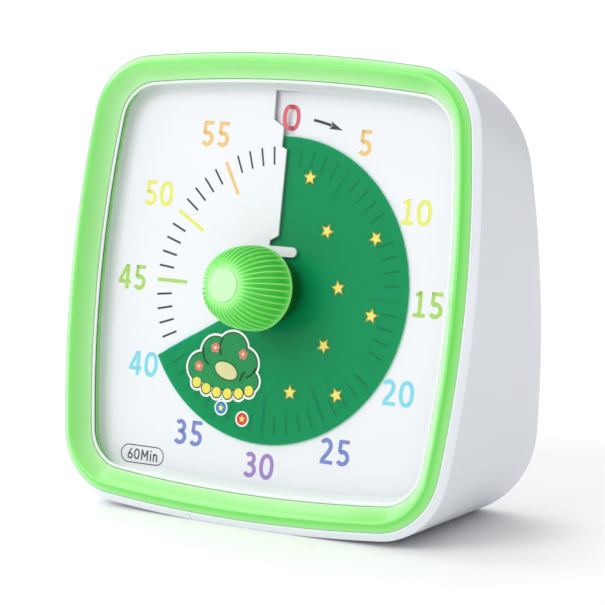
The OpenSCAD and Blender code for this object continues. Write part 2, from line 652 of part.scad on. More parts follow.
// the coil fills the core between the arms, with a flange at each end
coil_r = 3.6;
coil_low = stator_low + arm_w + fit;
coil_high = arm_high - arm_w - fit;
coil_flange_t = 0.8;
module coil_disc(r, y0, y1) translate([0, y1, 0]) rotate([90, 0, 0]) cylinder(r = r, h = y1 - y0);
module coil() color("peru") face_frame() translate([core_x, 0, stator_top - stator_t / 2])
    difference() {
        union() {
            coil_disc(coil_r, coil_low, coil_low + coil_flange_t);
            coil_disc(coil_r, coil_high - coil_flange_t, coil_high);
            coil_disc(coil_r - 0.6, coil_low + eps, coil_high - eps);
        }
        block(-core_w / 2 - 0.1, core_w / 2 + 0.1, -far, far,
              -stator_t / 2 - 0.1, stator_t / 2 + 0.1);
    }

// ---- rear cover, battery and board ---------------------------------------------------------
bay_rise = 32.9;                            // height of the battery above the cover's lower end
bay_y = bay_rise - rear_h / 2;
bay_half = battery_l / 2 + 3.5;             // half length inside the bay
bay_high = battery_r + 0.3;                 // half height inside the bay
door_gap = 0.2;
door_out = -0.2;                            // the door lies a little inside the cover's face
door_in = door_out - door_t;
door_half = bay_half + 1.5;
door_rim = 3;                               // reach of the door above and below the bay
hinge_y = bay_y - bay_high - door_rim;
door_high = bay_y + bay_high + door_rim;
door_ledge_w = 3;
door_ledge_t = 1.8;
hinge_h = (door_out + door_in) / 2;
hinge_pin_r = 0.7;
hinge_pin_l = 1.6;
battery_h = door_in - 0.4 - battery_r;
battery_x = 1.5;
bay_floor = battery_h - battery_r - 0.2;
switch_at = [-22, 37];
knob_half = 2.5;                            // half width of the slider's grip
knob_high = 2;                              // its half height
slot_half = slider_travel + knob_half + fit;
grille_at = [22, 28];
grille_r = 8;
slot_w = 1.4;
slots = 7;
buzzer_r = 10;
buzzer_t = 5;
ring_wall = 1.2;
ring_t = 3;
board_w = 40;
board_h = 34;
board_at = [-17, 31];
board_edge = 3;                             // distance of the screws from the board's edges
board_back = -10;                           // the board's face towards the cover
board_screws_at = [for (x = [-1, 1]) for (y = [-1, 1])
    board_at + [x * (board_w / 2 - board_edge), y * (board_h / 2 - board_edge)]];
board_boss_r = 2.6;
tail_y = bay_y + bay_high + bay_wall + 4;   // end of the contacts' solder tails
tail_half = 1.2;

module back_cover() color("white") rear_frame() difference() {
    union() {
        difference() {
            translate([0, 0, -cover_t])
                linear_extrude(cover_t) polygon(outline(rear_section, cover_inset + fit));
            block(-door_half - door_gap, door_half + door_gap, hinge_y - door_t / 2 - 0.3,
                  door_high + door_gap, -far, far);
        }
        // ledge under the door, and the bay's walls and floor
        difference() {
            union() {
                block(-door_half - door_ledge_w, door_half + door_ledge_w,
                      hinge_y - door_ledge_w - 0.5, door_high + door_ledge_w - 1,
                      door_in - 0.1 - door_ledge_t, door_in - 0.1);
                block(-bay_half - bay_wall, bay_half + bay_wall, bay_y - bay_high - bay_wall,
                      bay_y + bay_high + bay_wall, bay_floor - bay_wall, door_in - 0.2);
            }
            block(-bay_half, bay_half, bay_y - bay_high, bay_y + bay_high, bay_floor, far);
        }
        // ring that holds the buzzer
        translate([grille_at[0], grille_at[1], 0])
            tube(buzzer_r + seat + ring_wall, buzzer_r + seat, -cover_t - ring_t, -cover_t + eps);
        at(board_screws_at) disc(board_boss_r, board_back + seat, -cover_t + eps);
    }
    at(board_screws_at) disc(screw_r + seat, -far, -cover_t - 1);
    at(screw_at) {
        disc(screw_r + fit, -far, far);
        disc(screw_head_r + fit, -screw_sink, far);
    }
    for (x = [-1, 1]) translate([x * door_half, hinge_y, hinge_h]) rotate([0, 90, 0])
        disc(hinge_pin_r + run_fit, -hinge_pin_l - 0.4, hinge_pin_l + 0.4);
    // slots for the contacts' tails
    for (x = contact_x) block(x - contact_t / 2 - 0.15, x + contact_t / 2 + 0.15, bay_y, tail_y,
                              battery_h - tail_half - fit, battery_h + tail_half + fit);
    // slot of the volume slider, and the sound slots
    translate([switch_at[0], switch_at[1], 0])
        block(-slot_half, slot_half, -knob_high - fit, knob_high + fit, -far, far);
    for (i = [1 : slots]) let (x = grille_r * (2 * i / (slots + 1) - 1) * 1.11,
                               y = sqrt(grille_r * grille_r - x * x))
        block(grille_at[0] + x - slot_w / 2, grille_at[0] + x + slot_w / 2,
              grille_at[1] - y, grille_at[1] + y, -far, far);
}
housing_screw_l = 9;
module housing_screws() color("silver") rear_frame() at(screw_at) {
    disc(screw_head_r, -screw_sink, -screw_sink + screw_head_t);
    disc(screw_r, -housing_screw_l, -screw_sink + eps);
}
nail_half = 7;
grip_w = 0.8;
module battery_door() color("white") rear_frame() difference() {
    union() {
        block(-door_half, door_half, hinge_y, door_high, door_in, door_out);
        translate([-door_half, hinge_y, hinge_h]) rotate([0, 90, 0])
            cylinder(r = door_t / 2, h = 2 * door_half);
        translate([-door_half - hinge_pin_l, hinge_y, hinge_h]) rotate([0, 90, 0])
            cylinder(r = hinge_pin_r, h = 2 * (door_half + hinge_pin_l));
    }
    // recess for a fingernail, and the grip lines under it
    block(-nail_half, nail_half, door_high - door_rim, far, door_out - 0.9, far);
    for (i = [0 : 3]) let (y = door_high - 2 * door_rim - 2 * grip_w * i)
        block(-nail_half - 2, nail_half + 2, y, y + grip_w, door_out - 0.4, far);
}
nub_r = 2.75;
nub_t = 1.2;
module battery() color("darkseagreen") rear_frame() translate([battery_x, bay_y, battery_h])
    rotate([0, 90, 0]) {
        disc(battery_r, -battery_l / 2, battery_l / 2 - nub_t);
        disc(nub_r, battery_l / 2 - nub_t - eps, battery_l / 2);
    }
contact_t = 0.5;
contact_x = [bay_half - seat - contact_t / 2, -bay_half + seat + contact_t / 2];
plate_half = 5;
module contact_plate(x) {
    block(x - contact_t / 2, x + contact_t / 2, bay_y - plate_half, bay_y + bay_high - 0.3,
          battery_h - plate_half, battery_h + plate_half);
    block(x - contact_t / 2, x + contact_t / 2, bay_y, tail_y,
          battery_h - tail_half, battery_h + tail_half);
}
module contact_positive() color("silver") rear_frame() {
    contact_plate(contact_x[0]);
    translate([0, bay_y, battery_h]) rotate([0, 90, 0])
        disc(nub_r - 0.75, battery_x + battery_l / 2 + seat, contact_x[0]);
}
// conical coil spring along the battery's axis
spring_turns = 3;
spring_steps = 14;
spring_wire = 0.4;
spring_r = 5;           // at the contact, and at the battery
spring_tip_r = 2.8;
spring_from = contact_x[1] + contact_t / 2 + spring_wire * 0.8;
spring_to = battery_x - battery_l / 2 - spring_wire - seat;
module contact_negative() color("silver") rear_frame() {
    contact_plate(contact_x[1]);
    translate([0, bay_y, battery_h]) rotate([0, 90, 0]) loft([
        for (i = [0 : spring_turns * spring_steps])
            let (s = i / (spring_turns * spring_steps), a = -360 * spring_turns * s,
                 r = spring_r + (spring_tip_r - spring_r) * s, z = spring_from + (spring_to - spring_from) * s)
            [for (k = [0 : 5]) let (rr = r + spring_wire * cos(60 * k))
                [rr * cos(a), rr * sin(a), z + spring_wire * sin(60 * k)]]]);
}
// the controller, the crystal and two capacitors: [x, y, width, height, thickness]
chips = [[0, 0, 10, 8, 1.2], [10.5, -4, 3, 8, 1.4], [-12.5, -5, 3, 2, 1], [-12.5, 3, 3, 2, 1]];
module circuit_board() color("seagreen") rear_frame()
    translate([board_at[0], board_at[1], board_back - board_t]) {
        difference() {
            block(-board_w / 2, board_w / 2, -board_h / 2, board_h / 2, 0, board_t);
            for (p = board_screws_at) translate([p[0] - board_at[0], p[1] - board_at[1], 0])
                disc(screw_r + fit, -1, board_t + 1);
        }
        for (c = chips) block(c[0] - c[2] / 2, c[0] + c[2] / 2, c[1] - c[3] / 2, c[1] + c[3] / 2,
                              -c[4], eps);
    }
board_screw_l = 5;
module board_screws() color("silver") rear_frame() at(board_screws_at) {
    disc(small_head_r, board_back - board_t - screw_head_t, board_back - board_t);
    disc(screw_r, board_back - board_t - eps, board_back + board_screw_l);
}
switch_l = 16;
switch_w = 7;
switch_top = -cover_t - 2.4;
stem_half = 1.5;        // half width of the slider's stem in the switch
stem_l = 2.1;
module switch_body() color("dimgray") rear_frame() translate([switch_at[0], switch_at[1], 0])
    difference() {
        block(-switch_l / 2, switch_l / 2, -switch_w / 2, switch_w / 2, board_back, switch_top);
        block(-slider_travel - stem_half - 0.3, slider_travel + stem_half + 0.3,
              -stem_half - fit, stem_half + fit, switch_top - stem_l - 0.3, 0);
    }
// the flange covers the slot at both ends of the travel
flange_half = slot_half + slider_travel;
grip_rise = 0.8;
module volume_slider() color("gray") rear_frame() translate([switch_at[0], switch_at[1], 0]) {
    block(-stem_half, stem_half, -stem_half, stem_half, switch_top - stem_l, switch_top + 0.5);
    block(-flange_half, flange_half, -knob_high - 1, knob_high + 1,
          switch_top + 0.3, -cover_t - 0.3);
    block(-knob_half, knob_half, -knob_high, knob_high, -cover_t - 0.4, grip_rise);
    for (i = [-1.5 : 1.5]) let (x = i * knob_half / 2)
        block(x - 0.3, x + 0.3, -knob_high, knob_high, grip_rise - 0.1, grip_rise + 0.4);
}
module buzzer() color("black") rear_frame() translate([grille_at[0], grille_at[1], 0])
    difference() {
        disc(buzzer_r, -cover_t - seat - buzzer_t, -cover_t - seat);
        disc(nub_r / 2, -cover_t - 2, 0);
    }

// ---- wires ---------------------------------------------------------------------------------
wire_r = 0.6;
lead_r = 0.3;
board_face = board_back - board_t - 2 * seat;
// straight ends: up from the contact's tail, and square to the board
function wire_start(x) = [for (d = [seat, 0.7, 1.6]) [x, tail_y + d, battery_h]];
function wire_end(p) = [for (d = [1.6, 0.7, 0]) [p[0], p[1], board_face - d]];
red_pad = board_at + [17, -7];
black_pad = board_at + [-12.5, -8];
module wire_red() color("red") rear_frame() wire(concat(wire_start(contact_x[0]),
    [[20, 0, -12.2], [9, 15, -11.2], [3, 21, -12.9]], wire_end(red_pad)), wire_r, [1, 0, 1]);
module wire_black() color("black") rear_frame() wire(concat(wire_start(contact_x[1]),
    [[-33, 0, -12.2], [-29.5, 12, -13.4]], wire_end(black_pad)), wire_r, [1, 0, -1]);
module motor_leads() color("gold") for (x = [-0.8, 0.8]) face_frame() wire([
    [lead_hole[0] + x, lead_hole[1], case_back - 3.5], [lead_hole[0] + x, lead_hole[1],
    lid_top + 2], [core_x + x, coil_high + lead_r, stator_top + 2.2]], lead_r, [1, 0, 0]);

main_shell();
back_cover();
bezel();
lens();
dial_carrier();
dial_plate();
film_disc();
film_hub();
knob();
knob_cap();
knob_screw();
drive_shaft();
center_wheel();
clutch_spring();
bearing_bush();
movement_front();
movement_rear();
movement_screws();
intermediate_gear();
rotor();
stator();
coil();
circuit_board();
board_screws();
switch_body();
volume_slider();
buzzer();
battery();
contact_positive();
contact_negative();
battery_door();
housing_screws();
base_pads();
wire_red();
wire_black();
motor_leads();
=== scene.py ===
"""Looks of the visual countdown timer.

Finishes, housing, bezel, printed dial, film and knob, with the camera and the light.
"""
import math

import bmesh
import bpy
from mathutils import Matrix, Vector


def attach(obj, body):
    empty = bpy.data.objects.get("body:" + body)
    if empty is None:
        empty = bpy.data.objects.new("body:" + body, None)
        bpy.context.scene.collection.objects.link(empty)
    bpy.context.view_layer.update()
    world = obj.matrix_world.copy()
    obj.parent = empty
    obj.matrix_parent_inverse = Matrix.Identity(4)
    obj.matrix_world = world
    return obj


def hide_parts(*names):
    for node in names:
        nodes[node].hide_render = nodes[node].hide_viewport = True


MM = 0.001

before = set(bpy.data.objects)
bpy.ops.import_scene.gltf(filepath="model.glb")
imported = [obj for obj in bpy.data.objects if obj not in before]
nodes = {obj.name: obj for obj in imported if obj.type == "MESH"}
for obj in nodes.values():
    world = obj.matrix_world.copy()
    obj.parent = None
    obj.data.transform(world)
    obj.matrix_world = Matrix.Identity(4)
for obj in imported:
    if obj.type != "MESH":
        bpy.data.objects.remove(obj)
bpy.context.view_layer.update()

# ---- sizes of the part, as in its source, in millimetres and degrees ------------------------
FACE_LEAN = 10
DIAL_Z = 66
DIAL_DROP = 0.6
BODY_W = 140
BODY_H = 138.6
SIDE_ARC_R = 357
TOP_ARC_R = 499
RIM_R = 22
RIM_BAND_W = 2.1
RIM_BAND_H = 1.6
BODY_DEPTH = 37.7
REAR_LEAN = 4
REAR_W = 137
REAR_H = 133.8
REAR_R = 30
REAR_EDGE_R = 6
REAR_CUT = 2.237
REAR_Z = REAR_H / 2 * math.cos(math.radians(REAR_LEAN)) - REAR_CUT
WALL = 2.4
COVER_T = 2.4
COVER_INSET = REAR_EDGE_R + 2.5
CARRIER_BACK = -5.6
BEZEL_INSET = 2.5
BEZEL_W = 7.1
BEZEL_H = 8.9
CREST_W = 2.5
CREST_RISE = 1.6
BEZEL_LIP = 0.6
BEZEL_SEAT_H = 2
LENS_H = 5.2
LENS_INSET = BEZEL_INSET + 4.8
FOOT_INSET = LENS_INSET - 0.2
FILM_T = 0.3
PITCH = 1.8
DIAL_T = 0.6
KNOB_R = 12.2
KNOB_BASE = 9.8
KNOB_L = 17
DOME_L = 14.6
RIBS = 40
RIB_DEPTH = 0.75
CAP_R = 4.75
KNOB_WALL = 1.6
SHAFT_R = 3
KNOB_FOOT = LENS_H + 0.8
KNOB_TOP = KNOB_BASE + KNOB_L
SHAFT_TOP = KNOB_TOP - 7.1
HOLLOW_TOP = KNOB_TOP - 10.4
CAP_SEAT = KNOB_TOP - 1.6
CARRIER_WALL = 1.5


# ---- the leaning face: u to the viewer's right, v up the face, h out of it ------------------
def face(u, v, h):
    """A point of the face frame in the row frame, in metres."""
    lean = math.radians(FACE_LEAN)
    y = v * math.sin(lean) - h * math.cos(lean)
    z = DIAL_Z + v * math.cos(lean) + h * math.sin(lean)
    return Vector((u, y, z)) * MM


def rear(u, v, h):
    """A point of the rear frame, whose h runs out of the rear face."""
    lean = math.radians(REAR_LEAN)
    return Vector((u, BODY_DEPTH - v * math.sin(lean) + h * math.cos(lean),
                   REAR_Z + v * math.cos(lean) + h * math.sin(lean))) * MM


def clockwise(u, v):
    """Angle of a point of the face, clockwise from the top, from 0 to 360 degrees."""
    return math.degrees(math.atan2(u, v)) % 360


def polar(r, angle):
    """Point of the face at an angle clockwise from the top."""
    a = math.radians(angle)
    return r * math.sin(a), r * math.cos(a)


def dial_top(u, v):
    """Height of the dial's upper side."""
    return PITCH * clockwise(u, v) / 360 - PITCH / 2 + DIAL_T / 2


def film_top(u, v):
    """Height of the film's upper side."""
    return PITCH * clockwise(u, v) / 360 + FILM_T / 2


# A section is (half width, half height, side arc radius, top arc radius, corner radius).
FRONT = (BODY_W / 2, BODY_H / 2, SIDE_ARC_R, TOP_ARC_R, RIM_R)
REAR = (REAR_W / 2, REAR_H / 2, SIDE_ARC_R, TOP_ARC_R, REAR_R)
SIDE_STEPS = 12     # steps of half a side or half the top, and of a corner
CORNER_STEPS = 18


def arc(centre, r, start, end, steps):
    """Points of an arc, in degrees, both ends included."""
    return [(centre[0] + r * math.cos(math.radians(start + (end - start) * i / steps)),
             centre[1] + r * math.sin(math.radians(start + (end - start) * i / steps)))
            for i in range(steps + 1)]


def quadrant(section, inset):
    """Outline from the middle of the right side to the middle of the top."""
    half_w, half_h, ra, rb, rc = section
    a, b = Vector((half_w - ra, 0)), Vector((0, half_h - rb))
    gap = (b - a).length
    e = (b - a) / gap
    along = ((ra - rc) ** 2 - (rb - rc) ** 2 + gap * gap) / (2 * gap)
    c = a + along * e + math.sqrt((ra - rc) ** 2 - along ** 2) * Vector((-e.y, e.x))
    t1 = math.degrees(math.atan2((c - a).y, (c - a).x))
    t2 = math.degrees(math.atan2((c - b).y, (c - b).x))
    side = arc(a, ra - inset, 0, t1, SIDE_STEPS)
    corner = arc(c, rc - inset, t1, t2, CORNER_STEPS)
    top = arc(b, rb - inset, t2, 90, SIDE_STEPS)
    return side[:-1] + corner + top[1:]


def outline(section, inset):
    """Whole outline, anticlockwise from the middle of the right side."""
    q = quadrant(section, inset)
    return (q[:-1] + [(-x, y) for x, y in q[:0:-1]] + [(-x, -y) for x, y in q[:-1]]
            + [(x, -y) for x, y in q[:0:-1]])


def face_points(inset, h):
    return [face(u, v + DIAL_DROP, h) for u, v in outline(FRONT, inset)]


def rear_points(inset, h):
    return [rear(u, v, h) for u, v in outline(REAR, inset)]


# ---- materials -----------------------------------------------------------------------------
def srgb(r, g, b):
    """Linear colour of an sRGB colour whose parts run from 0 to 255."""
    def linear(x):
        x /= 255
        return x / 12.92 if x <= 0.04045 else ((x + 0.055) / 1.055) ** 2.4
    return linear(r), linear(g), linear(b), 1.0


class Material:
    """A material's node tree with short calls for the nodes used here."""

    def __init__(self, name):
        self.material = bpy.data.materials.new(name)
        self.material.use_nodes = True
        self.tree = self.material.node_tree
        self.tree.nodes.clear()
        self.output = self.node("ShaderNodeOutputMaterial")
        self.shader = self.node("ShaderNodeBsdfPrincipled")
        self.link(self.shader.outputs[0], self.output.inputs["Surface"])
        self.place = self.node("ShaderNodeTexCoord").outputs["Object"]

    def node(self, kind, **values):
        made = self.tree.nodes.new(kind)
        for name, value in values.items():
            setattr(made, name, value)
        return made

    def link(self, out, into):
        self.tree.links.new(out, into)

    def set(self, **values):
        for name, value in values.items():
            self.shader.inputs[name.replace("_", " ")].default_value = value

    def noise(self, size_mm, detail, rough=0.5):
        """Noise whose features are about size_mm wide; returns its factor."""
        made = self.node("ShaderNodeTexNoise")
        made.inputs["Scale"].default_value = 1 / (size_mm * MM)
        made.inputs["Detail"].default_value = detail
        made.inputs["Roughness"].default_value = rough
        self.link(self.place, made.inputs["Vector"])
        return made.outputs["Fac"]

    def between(self, factor, low, high):
        """Maps a factor from 0..1 to low..high."""
        made = self.node("ShaderNodeMapRange")
        made.inputs["To Min"].default_value = low
        made.inputs["To Max"].default_value = high
        self.link(factor, made.inputs["Value"])
        return made.outputs["Result"]

    def ramp(self, factor, stops):
        made = self.node("ShaderNodeValToRGB")
        spots = made.color_ramp.elements
        while len(spots) < len(stops):
            spots.new(0.5)
        for spot, (at, colour) in zip(spots, stops):
            spot.position = at
            spot.color = colour
        self.link(factor, made.inputs["Fac"])
        return made.outputs["Color"]

    def colour(self, out):
        self.link(out, self.shader.inputs["Base Color"])

    def mottle(self, factor, low, high):
        """Colours the surface between two colours, by the middle range of a noise."""
        self.colour(self.ramp(factor, [(0.3, low), (0.7, high)]))

    def gloss(self, factor, low, high):
        """Makes the roughness follow a factor."""
        self.link(self.between(factor, low, high), self.shader.inputs["Roughness"])

    def bump(self, height, distance_mm):
        made = self.node("ShaderNodeBump")
        made.inputs["Distance"].default_value = distance_mm * MM
        made.inputs["Strength"].default_value = 1
        self.link(height, made.inputs["Height"])
        self.link(made.outputs["Normal"], self.shader.inputs["Normal"])


def shade(colour, factor):
    return tuple(min(1.0, c * factor) for c in colour[:3]) + (1.0,)


def plastic(name, colour, roughness=0.35, vary=0.03, grain_mm=0.35, grain=0.004, flow_mm=18,
            **sockets):
    """Moulded plastic: faint flow in its colour, uneven gloss and a fine grain."""
    m = Material(name)
    m.mottle(m.noise(flow_mm, 3), shade(colour, 1 - vary), shade(colour, 1 + vary))
    m.gloss(m.noise(flow_mm / 3, 4), roughness * 0.85, roughness * 1.15)
    m.bump(m.noise(grain_mm, 4, 0.6), grain)
    m.set(**sockets)
    return m.material


LINE_W = 0.08       # width and length of the fine lines on metal
LINE_L = 3


def metal(name, colour, roughness=0.3):
    """Turned or drawn metal with fine lines along one direction."""
    m = Material(name)
    stretch = m.node("ShaderNodeMapping")
    stretch.inputs["Scale"].default_value = (1, LINE_W / LINE_L, 1)
    m.link(m.place, stretch.inputs["Vector"])
    m.place = stretch.outputs["Vector"]
    lines = m.noise(LINE_W, 3)
    m.mottle(lines, shade(colour, 0.88), colour)
    m.gloss(lines, roughness * 0.8, roughness * 1.3)
    m.bump(lines, 0.004)
    m.set(Metallic=1.0)
    return m.material


SLANT_POWER = 5     # how late a clear sheet starts to mirror as it turns away


def see_through(name, tint, roughness=0.02, opacity=0.0, body=None, **sockets):
    """Sheet that shows what lies behind through its tint, and covers more at a slant."""
    m = Material(name)
    m.mottle(m.noise(25, 2), shade(body or tint, 0.97), body or tint)
    m.gloss(m.noise(6, 3), roughness, roughness * 1.5)
    clear = m.node("ShaderNodeBsdfTransparent")
    clear.inputs["Color"].default_value = tint
    mix = m.node("ShaderNodeMixShader")
    slant = m.node("ShaderNodeLayerWeight")
    steep = m.node("ShaderNodeMath", operation="POWER")
    steep.inputs[1].default_value = SLANT_POWER
    m.link(slant.outputs["Facing"], steep.inputs[0])
    m.link(m.between(steep.outputs[0], opacity, 1), mix.inputs["Fac"])
    m.link(clear.outputs[0], mix.inputs[1])
    m.link(m.shader.outputs[0], mix.inputs[2])
    m.link(mix.outputs[0], m.output.inputs["Surface"])
    m.set(**sockets)
    return m.material


GREEN = srgb(136, 229, 114)
MATERIALS = {
    "housing": plastic("housing_white", srgb(232, 235, 241), 0.34, vary=0.008),
    # The tray's white is set lighter as painted light, lifting the shade on the carrier's wall.
    "tray": plastic("tray_white", srgb(238, 240, 243), 0.45, vary=0.01),
    "bezel": plastic("trim_green", GREEN, 0.28, vary=0.03),
    "dial": plastic("dial_card", srgb(239, 236, 242), 0.55, vary=0.006, grain_mm=0.12,
                    grain=0.002),
    # The film hub's dark green is painted shade; it also paints the shadow line on the tray's
    # wall.
    "hub": plastic("hub_dark_green", srgb(10, 104, 34), 0.3, vary=0.08),
    "black": plastic("black_plastic", srgb(28, 29, 31), 0.45),
    "grip": plastic("grip_gray", srgb(120, 123, 128), 0.5),
    "gear": plastic("gear_natural", srgb(226, 220, 196), 0.4),
    "board": plastic("board_mask", srgb(24, 108, 58), 0.3, vary=0.12, grain_mm=0.8, grain=0.02,
                     flow_mm=3),
    "sleeve": plastic("battery_sleeve", srgb(58, 92, 96), 0.28, vary=0.05),
    "pad": plastic("foam_pad", srgb(196, 198, 200), 0.8, vary=0.03, grain_mm=0.5, grain=0.05),
    "red_lead": plastic("lead_red", srgb(196, 32, 30), 0.4),
    "black_lead": plastic("lead_black", srgb(26, 26, 28), 0.4),
    "copper": metal("copper_winding", srgb(196, 112, 62), 0.35),
    "steel": metal("turned_steel", srgb(196, 198, 202), 0.3),
    "spring": metal("nickel_spring", srgb(214, 214, 216), 0.22),
    "brass": metal("turned_brass", srgb(214, 178, 96), 0.3),
    "iron": metal("stamped_iron", srgb(120, 122, 126), 0.45),
}
NODE_MATERIAL = {
    "main_shell": "housing", "back_cover": "housing", "battery_door": "housing",
    "bezel": "bezel", "dial_carrier": "tray", "dial_plate": "dial",
    "film_hub": "hub", "knob_screw": "steel", "drive_shaft": "steel",
    "center_wheel": "gear", "clutch_spring": "brass", "bearing_bush": "brass",
    "movement_front": "tray", "movement_rear": "tray", "movement_screws": "steel",
    "intermediate_gear": "gear", "rotor": "iron", "stator": "iron", "coil": "copper",
    "circuit_board": "board", "board_screws": "steel", "switch_body": "black",
    "volume_slider": "grip", "buzzer": "black", "battery": "sleeve",
    "contact_positive": "spring", "contact_negative": "spring", "housing_screws": "steel",
    "base_pads": "pad", "wire_red": "red_lead", "wire_black": "black_lead",
    "motor_leads": "copper",
}


def dress(node, material):
    """Gives a CAD node its finish."""
    slots = nodes[node].data.materials
    slots.clear()
    slots.append(material)


for node, name in NODE_MATERIAL.items():
    dress(node, MATERIALS[name])
dress("lens", see_through("clear_lens", srgb(253, 254, 254), opacity=0.01, Metallic=1.0))
dress("film_disc", see_through("green_film", srgb(89, 227, 194), 0.35, opacity=0.33,
                               body=srgb(22, 186, 126), Specular_IOR_Level=0.12))
# The cap is the knob's green, painted pale as a highlight on its flat face.
dress("knob_cap", plastic("cap_green_painted_highlight", srgb(191, 239, 182), 0.4))


# ---- helpers for meshes --------------------------------------------------------------------
def make_piece(name, mesh_from, material, body, smooth=None):
    """Builds a piece with bmesh code, gives it a finish and lets it ride on a body."""
    mesh = bpy.data.meshes.new(name)
    bm = bmesh.new()
    mesh_from(bm)
    bmesh.ops.recalc_face_normals(bm, faces=bm.faces)
    bm.to_mesh(mesh)
    bm.free()
    mesh.materials.append(material)
    piece = bpy.data.objects.new(name, mesh)
    bpy.context.scene.collection.objects.link(piece)
    if smooth is not None:
        mesh.shade_smooth()
        sharp = mesh.attributes.new("sharp_edge", "BOOLEAN", "EDGE")
        sharp.data.foreach_set("value", sharp_edges(mesh, math.radians(smooth)))
    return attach(piece, body)


def sharp_edges(mesh, limit):
    """True for each edge whose two faces meet at more than the limit."""
    faces = {}
    for p in mesh.polygons:
        for key in p.edge_keys:
            faces.setdefault(key, []).append(p.normal)
    marks = []
    for e in mesh.edges:
        pair = faces.get(tuple(sorted(e.vertices)), [])
        marks.append(len(pair) != 2 or pair[0].angle(pair[1], 0) > limit)
    return marks


def verts(bm, points):
    return [bm.verts.new(p) for p in points]


def band(bm, low, high, closed=True):
    """Faces between two rings of vertices."""
    n = len(low)
    for i in range(n if closed else n - 1):
        j = (i + 1) % n
        bm.faces.new((low[i], low[j], high[j], high[i]))


def bands(bm, rings):
    """Faces between each ring and the next."""
    for a, b in zip(rings, rings[1:]):
        band(bm, a, b)


def skin(bm, rings, closed=True):
    """Faces between each ring and the next, and between the last and the first."""
    for a, b in zip(rings, rings[1:] + rings[:1]):
        band(bm, a, b, closed)


# ---- housing -------------------------------------------------------------------------------
BASE_LIFT = 0.04        # the pads stand this far out of the flat base
RIM_TOP = BEZEL_H - 0.1
RIM_EDGE = RIM_TOP - RIM_BAND_H
EDGE_INSET = 0.16
EDGE_SOFT = 0.35        # how far the rounding reaches from the edge between wall and band
REAR_DROP = 0.02        # the rear's rounding starts this much lower, inside the CAD box
POCKET_INSET = BEZEL_INSET - 0.03
POCKET_SOFT = 0.08      # chamfer round the bezel's pocket
SEAT_INSET = POCKET_INSET + 2.4
THROAT_INSET = SEAT_INSET + 4.2
THROAT_BACK = CARRIER_BACK - 2
INSIDE_FROM = 0.46      # where the inner wall starts, as a share of the way to the rear
COVER_LEDGE = 3
COVER_LEDGE_T = 2
ROUND_STEPS = 12
WALL_STEPS = 10


def blended(a, b, t):
    """Ring a share of the way from one ring to another."""
    return [p.lerp(q, t) for p, q in zip(a, b)]


def level(points, z):
    """Cuts off what lies under a level."""
    return [Vector((p.x, p.y, max(p.z, z * MM))) for p in points]


def housing_mesh(bm):
    """Moulded shell as a loop of rings: up the outside, over the rim and back down the inside."""
    rear_edge = rear_points(0, -REAR_EDGE_R)
    rim_edge = face_points(EDGE_INSET, RIM_EDGE)
    band_top = face_points(RIM_BAND_W, RIM_TOP)
    outside = [rear_points(COVER_INSET, 0)]
    for i in range(ROUND_STEPS + 1):
        t = math.radians(90 - 90 * i / ROUND_STEPS)
        outside.append(rear_points(REAR_EDGE_R * (1 - math.cos(t)),
                                   -REAR_EDGE_R * (1 - math.sin(t)) - REAR_DROP * math.sin(t)))
    outside += [blended(rear_edge, rim_edge, i / WALL_STEPS) for i in range(1, WALL_STEPS)]
    outside += [blended(rim_edge, rear_edge, EDGE_SOFT / 40),
                blended(blended(rim_edge, rear_edge, EDGE_SOFT / 160),
                        blended(rim_edge, band_top, EDGE_SOFT / 14), 0.5)]
    outside += [blended(rim_edge, band_top, t)
                for t in (EDGE_SOFT / 3, 0.35, 0.5, 0.65, 0.8, 0.92)]
    outside += [face_points(RIM_BAND_W - 0.05, RIM_TOP - 0.02),
                face_points(POCKET_INSET - POCKET_SOFT, RIM_TOP)]
    pocket = [face_points(inset, h) for inset, h in (
        (POCKET_INSET, RIM_TOP - POCKET_SOFT), (POCKET_INSET, BEZEL_SEAT_H),
        (SEAT_INSET, BEZEL_SEAT_H), (SEAT_INSET, CARRIER_BACK),
        (THROAT_INSET, CARRIER_BACK), (THROAT_INSET, THROAT_BACK))]
    inside = [blended(face_points(WALL, RIM_EDGE), rear_points(WALL, -REAR_EDGE_R - 1), t)
              for t in (INSIDE_FROM, 1)]
    ledge = [rear_points(inset, h) for inset, h in (
        (WALL + COVER_LEDGE_T, -COVER_T - COVER_LEDGE_T),
        (COVER_INSET + COVER_LEDGE, -COVER_T - COVER_LEDGE_T),
        (COVER_INSET + COVER_LEDGE, -COVER_T), (COVER_INSET, -COVER_T))]
    rings = ([level(r, BASE_LIFT) for r in outside + pocket[:2]]
             + [level(r, WALL) for r in pocket[2:] + inside + ledge])
    skin(bm, [verts(bm, ring) for ring in rings])


shell = make_piece("housing_shell", housing_mesh, MATERIALS["housing"], "housing",
                   smooth=28)
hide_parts("main_shell")

MOULD_LINE_U = -16.8
MOULD_LINE_W = 0.12
MOULD_LINE_T = 0.03


def mould_line(bm):
    """Short fine line across the lower rim, where the mould's halves meet."""
    rim_edge = face_points(EDGE_INSET, RIM_EDGE)
    band_top = face_points(RIM_BAND_W, RIM_TOP)

    def crossing(share):
        """Point of the line at a share of the way up the band."""
        low = [p for p in blended(rim_edge, band_top, share) if p.z < face(0, -BODY_H / 4, 0).z]
        low.sort(key=lambda p: p.x)
        for a, b in zip(low, low[1:]):
            if a.x <= MOULD_LINE_U * MM <= b.x:
                return a.lerp(b, (MOULD_LINE_U * MM - a.x) / (b.x - a.x))

    out = face(0, -MOULD_LINE_T, MOULD_LINE_T) - face(0, 0, 0)
    side = Vector((MOULD_LINE_W / 2, 0, 0)) * MM
    rings = []
    for share in (0.1, 0.5, 0.95):
        p = crossing(share)
        rings.append(verts(bm, (p - side, p - side + out, p + side + out, p + side)))
    bands(bm, rings)
    for ring in (rings[0], rings[-1]):
        bm.faces.new(ring)


make_piece("mould_line", mould_line, plastic("seam_gray", srgb(168, 172, 178), 0.5), "housing")
